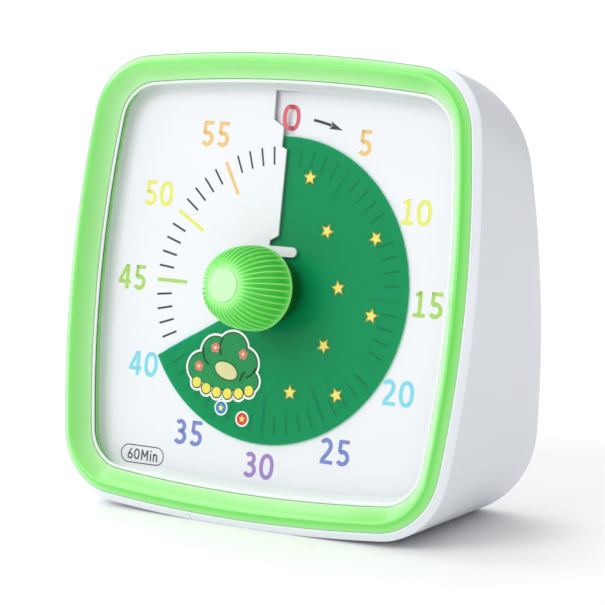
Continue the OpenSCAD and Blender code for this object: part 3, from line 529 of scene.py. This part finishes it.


# ---- bezel, and the painted reflection, shadow and highlight under the lens ----------------
BEZEL_IN = BEZEL_INSET + BEZEL_W
CREST = BEZEL_INSET + CREST_W
CREST_H = BEZEL_H + CREST_RISE
LIP_H = LENS_H + BEZEL_LIP
WALL_INSET = LENS_INSET + CARRIER_WALL      # face of the carrier's wall under the lens


def ring_piece(profile):
    """Closed ring whose section is a loop of (inset, height) points."""
    def build(bm):
        across = bm.verts.layers.float.new("across")
        rings = [verts(bm, face_points(*p)) for p in profile]
        for ring, (inset, _) in zip(rings, profile):
            for v in ring:
                v[across] = inset
        skin(bm, rings)
    return build


def through(points, steps=4):
    """Smooth curve through points, with so many steps from each to the next."""
    out = []
    for i in range(len(points) - 1):
        a, b = points[max(i - 1, 0)], points[i]
        c, d = points[i + 1], points[min(i + 2, len(points) - 1)]
        for k in range(steps):
            t = k / steps
            out.append(tuple(0.5 * (2 * q + (r - p) * t + (2 * p - 5 * q + 4 * r - w) * t * t
                                    + (3 * q - 3 * r + w - p) * t ** 3)
                             for p, q, r, w in zip(a, b, c, d)))
    return out + [points[-1]]


bezel_profile = [(BEZEL_INSET, BEZEL_SEAT_H)] + through([
    (BEZEL_INSET, BEZEL_H - 0.6), (BEZEL_INSET + 0.05, BEZEL_H - 0.25),
    (BEZEL_INSET + 0.3, BEZEL_H + 0.12), (CREST - 0.9, CREST_H - 0.5), (CREST, CREST_H),
    (CREST + 0.7, CREST_H - 0.35), (CREST + 1.7, CREST_H - 1.4), (BEZEL_IN - 0.8, LIP_H + 0.85),
    (BEZEL_IN - 0.2, LIP_H + 0.2), (BEZEL_IN, LIP_H - 0.1)]) + [
    (BEZEL_IN, LENS_H), (FOOT_INSET, LENS_H), (FOOT_INSET, BEZEL_SEAT_H)]


def bezel_finish():
    """Glossy green: painted highlights pale both edges, painted shade darkens the crest."""
    m = Material("bezel_green")
    share = m.node("ShaderNodeMapRange")
    share.inputs["From Min"].default_value = BEZEL_INSET
    share.inputs["From Max"].default_value = BEZEL_IN
    across = m.node("ShaderNodeAttribute", attribute_name="across")
    m.link(across.outputs["Fac"], share.inputs["Value"])
    # The ramp paints light across the section: highlights towards both edges, shade by the crest.
    m.colour(m.ramp(share.outputs["Result"], [
        (0.0, srgb(160, 232, 146)), (0.06, srgb(150, 230, 132)), (0.14, GREEN),
        (0.3, srgb(104, 216, 84)), (0.42, GREEN), (0.7, srgb(156, 234, 138)),
        (0.93, srgb(176, 240, 161)), (1.0, srgb(186, 242, 174))]))
    m.gloss(m.noise(40, 1), 0.27, 0.3)
    m.bump(m.noise(12, 1), 0.006)
    m.set(Coat_Weight=0.8, Coat_Roughness=0.12)
    return m.material


bezel = make_piece("bezel_moulded", ring_piece(bezel_profile), bezel_finish(), "housing",
                   smooth=38)
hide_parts("bezel")

STRIP_LOW = 0.5      # foot and top of the painted strips, above the dial's plane
STRIP_H = 3.0
STRIP_FROM = 35      # the painted strips rise between these distances to the left of the middle
STRIP_FULL = 50
STRIP_SINK = 0.4     # how far it lies under its foot where it doesn't show
STRIP_T = 0.28
STRIP_GAP = 0.02     # between the wall and the painted strip
STRIP_SLOPE = 0.15   # fall of its top towards the dial


def wall_strip(low, high, near, far):
    """Painted light on the tray's wall: full height on the left, sunk to its foot elsewhere."""
    def build(bm):
        rings = []
        for inset, h in ((near, low), (near, high), (far, high - STRIP_SLOPE), (far, low)):
            points = []
            for u, v in outline(FRONT, WALL_INSET + inset):
                share = min(1.0, max(0.0, (-u - STRIP_FROM) / (STRIP_FULL - STRIP_FROM)))
                up = STRIP_LOW + (h - STRIP_LOW) * share - STRIP_SINK * (1 - share)
                points.append(face(u, v + DIAL_DROP, up))
            rings.append(verts(bm, points))
        skin(bm, rings)
    return build


# Green strip on the left of the tray's wall: a painted reflection of the bezel.
make_piece("wall_painted_reflection", wall_strip(STRIP_LOW, STRIP_H, STRIP_GAP, STRIP_T),
           plastic("bezel_reflection_painted_green", srgb(150, 236, 130), 0.28, vary=0.03), "housing",
           smooth=38)
# Thin dark green line along the top of the painted reflection: a painted shadow.
make_piece("wall_painted_shadow_line", wall_strip(STRIP_H - 0.3, STRIP_H + 0.2, STRIP_T, STRIP_T + 0.1),
           MATERIALS["hub"], "housing", smooth=38)


def on_lens(points):
    """Section points given from the bezel's inner edge and the lens's face."""
    return [(BEZEL_IN + inset, LENS_H + h) for inset, h in points]


# Thin dark ring round the lens's edge at the bezel: a painted shadow of the gap.
edge_shadow = on_lens([(-0.1, 0.01), (-0.1, 0.14), (0.1, 0.1), (0.12, 0.01)])
make_piece("lens_edge_shadow_ring", ring_piece(edge_shadow), plastic("lens_edge_painted_shadow", srgb(60, 96, 62), 0.5),
           "housing", smooth=38)
STEP_W = 1.1        # how far the frosted step, white as a painted highlight, reaches over the lens's face
# The lens's stepped edge is a frosted white ring; its whiteness is a painted highlight of the
# edge.
step = (on_lens([(0.14, 0.01)])
        + through(on_lens([(0.14, 0.2), (0.3, 0.36), (0.9, 0.34), (STEP_W, 0.05)]), 3)
        + on_lens([(STEP_W, 0.01)]))
make_piece("lens_step", ring_piece(step), see_through(
    "lens_edge_painted_highlight", srgb(236, 239, 240), 0.25, opacity=0.78, body=srgb(250, 251, 252)),
    "housing", smooth=50)

SUNK = 0.1          # how far the sides of a print or step reach below the surface
COVE_W = 3.2        # width and height of the rounded step between the wall and the dial
COVE_H = 0.6
COVE_GAP = 0.31     # between the wall and the step
COVE_LIFT = 0.01
COVE_CURVE = 2.4
COVE_STEPS = 8


def cove(bm):
    """Hollow step that runs round the dial and lies on it all along."""
    rings = []
    for i in range(COVE_STEPS + 1):
        t = i / COVE_STEPS
        h = COVE_H * (1 - t) ** COVE_CURVE
        inset = WALL_INSET + COVE_GAP + COVE_W * t
        rings.append([(u, v + DIAL_DROP, h) for u, v in outline(FRONT, inset)])
    for ring in (rings[-1], rings[0]):
        rings.append([(u, v, -SUNK) for u, v, _ in ring])
    skin(bm, [verts(bm, [face(u, v, dial_top(u, v) + h + COVE_LIFT) for u, v, h in ring])
              for ring in rings])


# The cove is painted whiter than the dial to lift the shade that falls under the lens's edge.
make_piece("dial_cove", cove, plastic("cove_white_painted_light", srgb(246, 247, 249), 0.3, vary=0.006),
           "housing", smooth=38)


# ---- printed marks -------------------------------------------------------------------------
PRINT_T = 0.04      # how far a print stands above the surface
MITRE_LIMIT = 0.35


def offset_line(points, width, closed):
    """Left and right edges of a stroke with mitred corners."""
    left, right = [], []
    n = len(points)
    for i, p in enumerate(points):
        before = points[i - 1] if i or closed else None
        after = points[(i + 1) % n] if i < n - 1 or closed else None
        d0 = (p - before).normalized() if before is not None else (after - p).normalized()
        d1 = (after - p).normalized() if after is not None else d0
        side = Vector((-(d0 + d1).y, (d0 + d1).x)).normalized()
        reach = width / 2 / max(MITRE_LIMIT, side.dot(Vector((-d0.y, d0.x))))
        left.append(p + side * reach)
        right.append(p - side * reach)
    return left, right


def print_stroke(bm, points, width, top, closed=False):
    """Thin raised stroke along points of the face, on the surface that top gives."""
    left, right = offset_line([Vector(p) for p in points], width, closed)
    rings = [verts(bm, [face(p.x, p.y, top(p.x, p.y) + lift) for p in line])
             for line, lift in ((left, -SUNK), (left, PRINT_T), (right, PRINT_T), (right, -SUNK))]
    skin(bm, rings, closed)
    if not closed:
        for end in (0, -1):
            bm.faces.new([ring[end] for ring in rings])


def print_fill(bm, points, top, lift=PRINT_T):
    """Thin raised patch whose outline runs round its middle."""
    mid = sum((Vector(p) for p in points), Vector((0, 0))) / len(points)
    up = verts(bm, [face(p[0], p[1], top(*p) + lift) for p in points])
    low = verts(bm, [face(p[0], p[1], top(*p) - SUNK) for p in points])
    band(bm, low, up)
    centre = bm.verts.new(face(mid.x, mid.y, top(mid.x, mid.y) + lift))
    under = bm.verts.new(face(mid.x, mid.y, top(mid.x, mid.y) - SUNK))
    n = len(points)
    for i in range(n):
        bm.faces.new((up[i], up[(i + 1) % n], centre))
        bm.faces.new((low[(i + 1) % n], low[i], under))


def bow(cx, cy, rx, ry, start, end, steps=14, power=2.0):
    """Arc of a superellipse, in degrees from +x towards +y."""
    points = []
    for i in range(steps + 1):
        t = math.radians(start + (end - start) * i / steps)
        c, s = math.cos(t), math.sin(t)
        points.append((cx + rx * math.copysign(abs(c) ** (2 / power), c),
                       cy + ry * math.copysign(abs(s) ** (2 / power), s)))
    return points


STROKE = 0.172      # stroke of a character, as a share of its height
NUMERAL_W = 0.69    # width of a numeral and distance to the next, also as shares
ADVANCE = 0.757
# Each character is a list of strokes: (points, closed, share of the usual stroke).
CHARACTERS = {
    "0": [(bow(0.345, 0.5, 0.2475, 0.4275, 0, 350, 35, 2.25), True, 1)],
    "1": [([(0.375, 0), (0.375, 1)], False, 1), ([(0.10, 0.0675), (0.635, 0.0675)], False, 0.87),
          ([(0.145, 0.835), (0.25, 0.86), (0.375, 0.935)], False, 0.8)],
    "2": [(bow(0.29, 0.695, 0.215, 0.23, 152, -18) + [(0.40, 0.44), (0.14, 0.13)], False, 1),
          ([(0.06, 0.0675), (0.635, 0.0675)], False, 0.87)],
    "3": [(bow(0.30, 0.735, 0.185, 0.19, 148, -78), False, 1),
          ([(0.2, 0.535), (0.34, 0.535)], False, 0.87),
          (bow(0.30, 0.30, 0.235, 0.225, 82, -148, 18), False, 1)],
    "4": [([(0.455, 0), (0.455, 1)], False, 1), ([(0.42, 0.975), (0.09, 0.32)], False, 0.95),
          ([(0.015, 0.29), (0.635, 0.29)], False, 0.87)],
    "5": [([(0.13, 0.9325), (0.585, 0.9325)], False, 0.87),
          ([(0.195, 0.99), (0.165, 0.515)], False, 0.95),
          (bow(0.305, 0.305, 0.235, 0.235, 128, -146, 20), False, 1)],
    "6": [(bow(0.345, 0.29, 0.225, 0.2175, 0, 345, 23), True, 1),
          ([(0.14, 0.36), (0.25, 0.66), (0.46, 0.98)], False, 1)],
    "M": [([(0.13, 0), (0.13, 0.98)], False, 1), ([(0.13, 0.94), (0.45, 0.32)], False, 1),
          ([(0.45, 0.32), (0.77, 0.94)], False, 1), ([(0.77, 0), (0.77, 0.98)], False, 1)],
    "i": [([(0.1, 0), (0.1, 0.7)], False, 1), ([(0.1, 0.84), (0.1, 0.98)], False, 1.2)],
    "n": [([(0.1, 0), (0.1, 0.72)], False, 1), ([(0.46, 0), (0.46, 0.48)], False, 1),
          (bow(0.28, 0.48, 0.18, 0.17, 180, 0, 8), False, 1)],
}


def print_text(bm, text, at, height, top, stroke=STROKE, advances=None):
    """Writes text centred on a point of the face."""
    steps = [(advances or {}).get(c, ADVANCE) for c in text]
    x = -(sum(steps[:-1]) + NUMERAL_W) / 2
    for c, step in zip(text, steps):
        for points, closed, share in CHARACTERS[c]:
            placed = [(at[0] + (x + p[0]) * height, at[1] + (p[1] - 0.5) * height) for p in points]
            print_stroke(bm, placed, stroke * share * height, top, closed)
        x += step


MINUTE = 6          # degrees
NUMERAL_R = 50.7
ZERO_R = 49.9
NUMERAL_H = 7.3
TICK_OUT = 41.5
TICK_IN = 36.2
LONG_TICK_IN = 30.9
TICK_W = 0.6
LONG_TICK_W = 1.05
NUMERAL_COLOURS = {
    0: (218, 92, 104), 5: (240, 194, 120), 10: (234, 232, 108), 15: (170, 212, 96),
    20: (128, 212, 230), 25: (118, 130, 200), 30: (160, 126, 196), 35: (118, 130, 200),
    40: (128, 212, 230), 45: (170, 212, 96), 50: (234, 232, 108), 55: (240, 194, 120),
}


def ink(name, rgb):
    return plastic(name, srgb(*rgb), 0.5, vary=0.02, grain_mm=0.1, grain=0.002, flow_mm=4)


def tick(bm, minute, inner, width):
    angle = MINUTE * minute
    print_stroke(bm, [polar(inner, angle), polar(TICK_OUT, angle)], width, dial_top)


for minute, rgb in NUMERAL_COLOURS.items():
    def numeral(bm, minute=minute):
        r = NUMERAL_R if minute else ZERO_R
        print_text(bm, str(minute), polar(r, MINUTE * minute), NUMERAL_H, dial_top)
        if minute:
            tick(bm, minute, LONG_TICK_IN, LONG_TICK_W)
    make_piece(f"numeral_{minute:02d}", numeral, ink(f"ink_{minute:02d}", rgb), "housing")

dark_ink = ink("ink_dark", (44, 47, 50))


def minute_ticks(bm):
    for minute in range(1, 60):
        if minute % 5:
            tick(bm, minute, TICK_IN, TICK_W)


make_piece("minute_ticks", minute_ticks, dark_ink, "housing")

ARROW_R = 50.1
ARROW_FROM = 8.2    # degrees
ARROW_TO = 20.2
ARROW_W = 0.8
HEAD_L = 4.2
HEAD_W = 2.3
BARB = 0.6          # degrees that the head's corners reach back, and its notch forward
NOTCH = 0.4


def arrow(bm):
    """Curved arrow that shows which way the knob is turned."""
    neck = ARROW_TO - math.degrees(HEAD_L / ARROW_R)
    print_stroke(bm, [polar(ARROW_R, ARROW_FROM + (neck - ARROW_FROM) * i / 8) for i in range(9)],
                 ARROW_W, dial_top)
    print_fill(bm, [polar(ARROW_R, ARROW_TO), polar(ARROW_R + HEAD_W / 2, neck - BARB),
                    polar(ARROW_R, neck + NOTCH), polar(ARROW_R - HEAD_W / 2, neck - BARB)],
               dial_top)


make_piece("turn_arrow", arrow, dark_ink, "housing")

LABEL = (-41.3, -52.2)
LABEL_L = 15.4
LABEL_H = 5.2
LABEL_LINE_W = 0.32
LABEL_TEXT_H = 3.2
LABEL_STROKE = 0.15
LABEL_SHIFT = 0.3   # of the text in its frame
LABEL_ADVANCES = {"6": 0.74, "0": 0.8, "M": 1.03, "i": 0.34, "n": 0.6}


def range_label(bm):
    """Label with the timer's range, in a rounded frame."""
    r = LABEL_H / 2
    half = LABEL_L / 2 - r
    x, y = LABEL
    rim = bow(x + half, y, r, r, -90, 90, 12) + bow(x - half, y, r, r, 90, 270, 12)
    print_stroke(bm, rim, LABEL_LINE_W, dial_top, closed=True)
    print_text(bm, "60Min", (x + LABEL_SHIFT, y), LABEL_TEXT_H, dial_top, LABEL_STROKE,
               LABEL_ADVANCES)


make_piece("range_label", range_label, ink("ink_gray", (72, 76, 80)), "housing")


# ---- prints on the film --------------------------------------------------------------------
def turned(points, centre, turn):
    """Points turned about their origin, which then moves to a centre."""
    c, s = math.cos(math.radians(turn)), math.sin(math.radians(turn))
    return [(centre[0] + (c * x - s * y), centre[1] + (s * x + c * y)) for x, y in points]


def ring_of(centre, rx, ry, steps=20, turn=0.0):
    loop = [(rx * math.cos(2 * math.pi * i / steps), ry * math.sin(2 * math.pi * i / steps))
            for i in range(steps)]
    return turned(loop, centre, turn)


STAR_POINTS = 5
STAR_IN = 0.48      # radius of its inner corners, as a share


def star(centre, r, turn=0.0):
    corners = []
    for i in range(2 * STAR_POINTS):
        reach = r * STAR_IN if i % 2 else r
        a = math.radians(turn) + math.pi * i / STAR_POINTS
        corners.append((centre[0] + reach * math.sin(a), centre[1] + reach * math.cos(a)))
    return corners


STICKER_R = 27.5
STICKER_ANGLE = 213
STICKER_TURN = -4
# Round clumps of the sticker's bush: (centre, half width, half height)
CLUMPS = [((-7.4, -1.8), 4.4, 4.2), ((-3.2, 3.4), 4.6, 4.4), ((2.6, 5.4), 4.8, 4.4),
          ((7.2, 1.6), 4.4, 4.2), ((9.6, -3.2), 3.2, 3.0), ((0.6, -2.6), 9.2, 4.4)]
BERRIES = [(-8.2, -6.4), (-4.6, -7.6), (-0.8, -8.1), (3.0, -7.9), (6.8, -7.2), (10.2, -5.9)]
# Fine lines in the bush: (centre, radius, start, end)
TWIGS = [((-3.2, 3.4), 4.3, 172, 250), ((2.6, 5.4), 4.5, 150, 215),
         ((7.2, 1.6), 4.1, -70, -10), ((9.6, -3.2), 2.9, 120, 190)]
TWIG_W = 0.5
TWIG_LIFT = 0.14
NEST = (1.4, -1.4)
NEST_TURN = -14
BLOSSOMS = [(-8.2, -1.6), (-3.4, 4.6), (6.4, 4.2)]
PETALS = 5
PETAL_R = 0.72
PETAL_OUT = 0.85    # distance of the petals from the blossom's centre
PETAL_STEP = 1.2566     # radians from one petal to the next
# Small prints: (radius, angle, kind)
SMALL_PRINTS = [(34, 14, "star"), (24, 41, "star"), (36.5, 62, "star"), (21.5, 84, "star"),
                (33.5, 98, "star"), (23.5, 128, "star"), (37, 139, "star"), (30, 163, "star"),
                (38.5, 190, "red"), (38.2, 202, "blue")]
STAR_STEP = 20      # degrees by which each star is turned further than the one before


def film_ink(name, rgb):
    return plastic(name + "_ink", srgb(*rgb), 0.4, vary=0.04, grain_mm=0.15, grain=0.002,
                   flow_mm=2, Specular_IOR_Level=0.15)


def film_print(name, rgb, shapes, lift):
    """Patches printed on the film, each lift higher than its surface."""
    def build(bm):
        for shape in shapes:
            print_fill(bm, shape, film_top, lift)
    return make_piece(name, build, film_ink(name, rgb), "film")


def place(points):
    """Puts points of the sticker on the film."""
    return turned(points, polar(STICKER_R, STICKER_ANGLE), STICKER_TURN)


def clumps(grow):
    return [place(ring_of(c, rx + grow, ry + grow, 28)) for c, rx, ry in CLUMPS]


def berries(r):
    return [place(ring_of(b, r, r)) for b in BERRIES]


def nest(rx, ry):
    return [place(ring_of(NEST, rx, ry, 24, NEST_TURN))]


def petals(centre):
    x, y = centre
    return [place(ring_of((x + PETAL_OUT * math.sin(k * PETAL_STEP),
                           y + PETAL_OUT * math.cos(k * PETAL_STEP)), PETAL_R, PETAL_R, 12))
            for k in range(PETALS)]


def twig_lines(bm):
    for (x, y), r, start, end in TWIGS:
        print_stroke(bm, place(bow(x, y, r, r, start, end, 8)), TWIG_W,
                     lambda u, v: film_top(u, v) + TWIG_LIFT)


film_print("sticker_border", (246, 248, 244), clumps(1.0) + berries(2.5), 0.05)
film_print("sticker_outline", (16, 74, 40), clumps(0.35) + berries(1.85), 0.08)
film_print("sticker_bush", (30, 142, 78), clumps(0), 0.11)
make_piece("sticker_twigs", twig_lines, film_ink("twig", (10, 66, 34)), "film")
film_print("sticker_nest_edge", (24, 96, 48), nest(4.4, 2.7), 0.14)
film_print("sticker_nest", (226, 216, 160), nest(4.0, 2.3), 0.17)
film_print("sticker_berries", (244, 224, 96), berries(1.5), 0.13)
film_print("sticker_petals", (230, 128, 132), [p for c in BLOSSOMS for p in petals(c)], 0.2)
film_print("sticker_centres", (246, 226, 110),
           [place(ring_of(c, 0.5, 0.5, 12)) for c in BLOSSOMS], 0.24)


def spots(kind):
    return [polar(r, a) for r, a, k in SMALL_PRINTS if k == kind]


def stars(r):
    return [star(c, r, STAR_STEP * i) for i, c in enumerate(spots("star"))]


balls = spots("red") + spots("blue")
film_print("stars_edge", (176, 150, 40), stars(2.45), 0.04)
film_print("stars", (246, 228, 118), stars(1.85), 0.07)
film_print("ball_edges", (240, 242, 238), [ring_of(c, 2.3, 2.3) for c in balls], 0.04)
film_print("ball_red", (222, 66, 58), [ring_of(c, 1.8, 1.8) for c in spots("red")], 0.07)
film_print("ball_blue", (58, 132, 200), [ring_of(c, 1.8, 1.8) for c in spots("blue")], 0.07)
film_print("ball_stars", (250, 228, 110), [star(c, 1.1) for c in balls], 0.1)


# ---- knob ----------------------------------------------------------------------------------
DOME_BASE = KNOB_TOP - DOME_L
DOME_IN = CAP_R + 0.5
DOME_END = 89       # degrees round the dome where the cap's rim starts
DOME_STEPS = 26
DOME_FADE = 0.8     # share of their depth that the grooves lose towards the cap
SKIRT_H = 1.6
RIB_SAMPLES = 14    # points round each rib
RIB_SHARE = 0.52    # width of a rib as a share of its pitch
RIB_CURVE = 1.3
# Painted light colours the knob from 0, shade in the grooves, to 1, highlight on the crests.
SKIRT_LIGHT = 0.85
CAP_LIGHT_H = 3.2        # height under the cap over which painted highlight pales the grooves
CAP_LIGHT = 0.7


def rib_height(phase):
    """Rounded rib: 1 on its crest and 0 in the groove, over one pitch."""
    off = abs((phase + 0.5) % 1 - 0.5) / (RIB_SHARE / 2)
    return 0.0 if off >= 1 else math.cos(off * math.pi / 2) ** RIB_CURVE


def knob_outside():
    """Outside profile of the knob: (radius, height, tilt of its normal, depth of the grooves)."""
    rows = [(KNOB_R - 0.3, KNOB_BASE, 0, 0), (KNOB_R - 0.08, KNOB_BASE + 0.1, 0, 0),
            (KNOB_R, KNOB_BASE + 0.3, 0, 0), (KNOB_R, KNOB_BASE + SKIRT_H - 0.4, 0, 0),
            (KNOB_R, KNOB_BASE + SKIRT_H - 0.1, 0, 0.12),
            (KNOB_R, KNOB_BASE + SKIRT_H + 0.2, 0, 0.5)]
    reach = KNOB_R - DOME_IN
    for i in range(DOME_STEPS + 1):
        t = math.radians(DOME_END * i / DOME_STEPS)
        tilt = math.atan2(math.sin(t) * reach, math.cos(t) * DOME_L)
        depth = RIB_DEPTH * (1 - DOME_FADE * (i / DOME_STEPS) ** 3)
        rows.append((DOME_IN + reach * math.cos(t), DOME_BASE + DOME_L * math.sin(t), tilt, depth))
    return rows


def knob_mesh(bm):
    count = RIBS * RIB_SAMPLES
    turns = [2 * math.pi * k / count for k in range(count)]
    crests = [rib_height(k / RIB_SAMPLES) for k in range(count)]
    crest_light = bm.verts.layers.float.new("crest_light")
    rings = []
    for r, h, tilt, depth in knob_outside():
        near_cap_light = min(1.0, max(0.0, (h - KNOB_TOP + CAP_LIGHT_H) / CAP_LIGHT_H)) ** 2 * CAP_LIGHT
        ring = []
        for angle, crest in zip(turns, crests):
            cut = depth * (1 - crest)
            rr = r - cut * math.cos(tilt)
            v = bm.verts.new(face(rr * math.cos(angle), rr * math.sin(angle),
                                  h - cut * math.sin(tilt)))
            v[crest_light] = crest + (1 - crest) * near_cap_light if depth else SKIRT_LIGHT
            ring.append(v)
        rings.append(ring)

    def plain(r, h):
        return verts(bm, [face(r * math.cos(a), r * math.sin(a), h) for a in turns])

    tops = [plain(CAP_R + 0.05, KNOB_TOP - 0.05), plain(CAP_R + 0.05, CAP_SEAT)]
    # The cap's rim gets the full painted highlight.
    for v in tops[0]:
        v[crest_light] = 1
    skirt_in = KNOB_R - RIB_DEPTH - KNOB_WALL
    lows = [plain(r, h) for r, h in (
        (skirt_in, KNOB_BASE), (skirt_in, HOLLOW_TOP), (SHAFT_R + 2, HOLLOW_TOP),
        (SHAFT_R + 2, KNOB_FOOT), (SHAFT_R + 0.02, KNOB_FOOT), (SHAFT_R + 0.02, SHAFT_TOP))]
    bands(bm, rings + tops)
    bands(bm, rings[:1] + lows)
    for ring, height in ((tops[1], CAP_SEAT), (lows[-1], SHAFT_TOP)):
        centre = bm.verts.new(face(0, 0, height))
        for k in range(count):
            bm.faces.new((ring[k], ring[(k + 1) % count], centre))


def knob_finish():
    """Painted shade: saturated green in the grooves; painted highlight: pale on the crests."""
    m = Material("knob_green")
    crest_light = m.node("ShaderNodeAttribute", attribute_name="crest_light").outputs["Fac"]
    m.colour(m.ramp(crest_light, [(0.0, srgb(82, 220, 64)), (0.45, srgb(106, 228, 88)),
                            (0.9, srgb(172, 247, 154))]))
    m.gloss(m.noise(4, 3), 0.26, 0.36)
    m.bump(m.noise(0.3, 3), 0.003)
    return m.material


knob = make_piece("knob_ribbed", knob_mesh, knob_finish(), "dial_drive", smooth=50)
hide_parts("knob")


# ---- camera, light and floor ---------------------------------------------------------------
CAMERA_PLACE = Vector((0.4178, -0.6233, 0.176))
CAMERA_TARGET = Vector((0.0069, 0.0035, 0.0626))
CAMERA_LENS = 156.8
SENSOR_W = 36


def make_camera():
    data = bpy.data.cameras.new("camera")
    data.sensor_width = SENSOR_W
    data.lens = CAMERA_LENS
    data.clip_end = 100
    camera = bpy.data.objects.new("camera", data)
    camera.location = CAMERA_PLACE
    camera.rotation_euler = (CAMERA_TARGET - CAMERA_PLACE).to_track_quat("-Z", "Y").to_euler()
    bpy.context.scene.collection.objects.link(camera)
    bpy.context.scene.camera = camera


def make_sun(name, azimuth, elevation, strength, softness):
    """Even light from a direction: azimuth 0 comes from the front, +90 from +X."""
    data = bpy.data.lights.new(name, "SUN")
    data.energy = strength
    data.angle = math.radians(softness)
    light = bpy.data.objects.new(name, data)
    a, e = math.radians(azimuth), math.radians(elevation)
    towards = Vector((math.sin(a) * math.cos(e), -math.cos(a) * math.cos(e), math.sin(e)))
    light.rotation_euler = towards.to_track_quat("Z", "Y").to_euler()
    bpy.context.scene.collection.objects.link(light)


SKY = Vector((-0.3, -0.15, 0.9))        # middle of the bright side of the studio
SOFTBOX = Vector((-0.62, 0.3, 0.72))    # direction of its large lamp


def make_world():
    """White studio: a large soft lamp at the upper left, dimmest at the lower right."""
    world = bpy.data.worlds.new("studio")
    world.use_nodes = True
    tree = world.node_tree
    sky = tree.nodes["Background"]
    coords = tree.nodes.new("ShaderNodeTexCoord")

    def glow(direction, start, end, low, high):
        """Strength that rises from low to high as a ray's cosine to the direction nears end."""
        towards = tree.nodes.new("ShaderNodeVectorMath")
        towards.operation = "DOT_PRODUCT"
        towards.inputs[1].default_value = direction.normalized()
        tree.links.new(coords.outputs["Generated"], towards.inputs[0])
        spread = tree.nodes.new("ShaderNodeMapRange")
        spread.interpolation_type = "SMOOTHSTEP"
        for name, value in (("From Min", start), ("From Max", end),
                            ("To Min", low), ("To Max", high)):
            spread.inputs[name].default_value = value
        tree.links.new(towards.outputs["Value"], spread.inputs["Value"])
        return spread.outputs["Result"]

    both = tree.nodes.new("ShaderNodeMath")
    tree.links.new(glow(SKY, start=-0.4, end=0.95, low=0.27, high=0.84), both.inputs[0])
    tree.links.new(glow(SOFTBOX, start=0.8, end=0.9, low=0, high=1.4), both.inputs[1])
    tree.links.new(both.outputs[0], sky.inputs["Strength"])
    sky.inputs["Color"].default_value = (1, 1, 1, 1)
    bpy.context.scene.world = world


def grey(value):
    return value, value, value, 1.0


def make_floor(half):
    mesh = bpy.data.meshes.new("floor")
    corners = [(-half, -half, 0), (half, -half, 0), (half, half, 0), (-half, half, 0)]
    mesh.from_pydata(corners, [], [(0, 1, 2, 3)])
    m = Material("pale_floor")
    m.mottle(m.noise(400, 2), grey(0.92), grey(0.935))
    m.set(Roughness=0.9, Specular_IOR_Level=0.1)
    mesh.materials.append(m.material)
    floor = bpy.data.objects.new("floor", mesh)
    bpy.context.scene.collection.objects.link(floor)


make_camera()
make_sun("key", azimuth=-22, elevation=34, strength=1.25, softness=40)
make_world()
make_floor(half=12)
bpy.context.scene.view_settings.view_transform = "Standard"
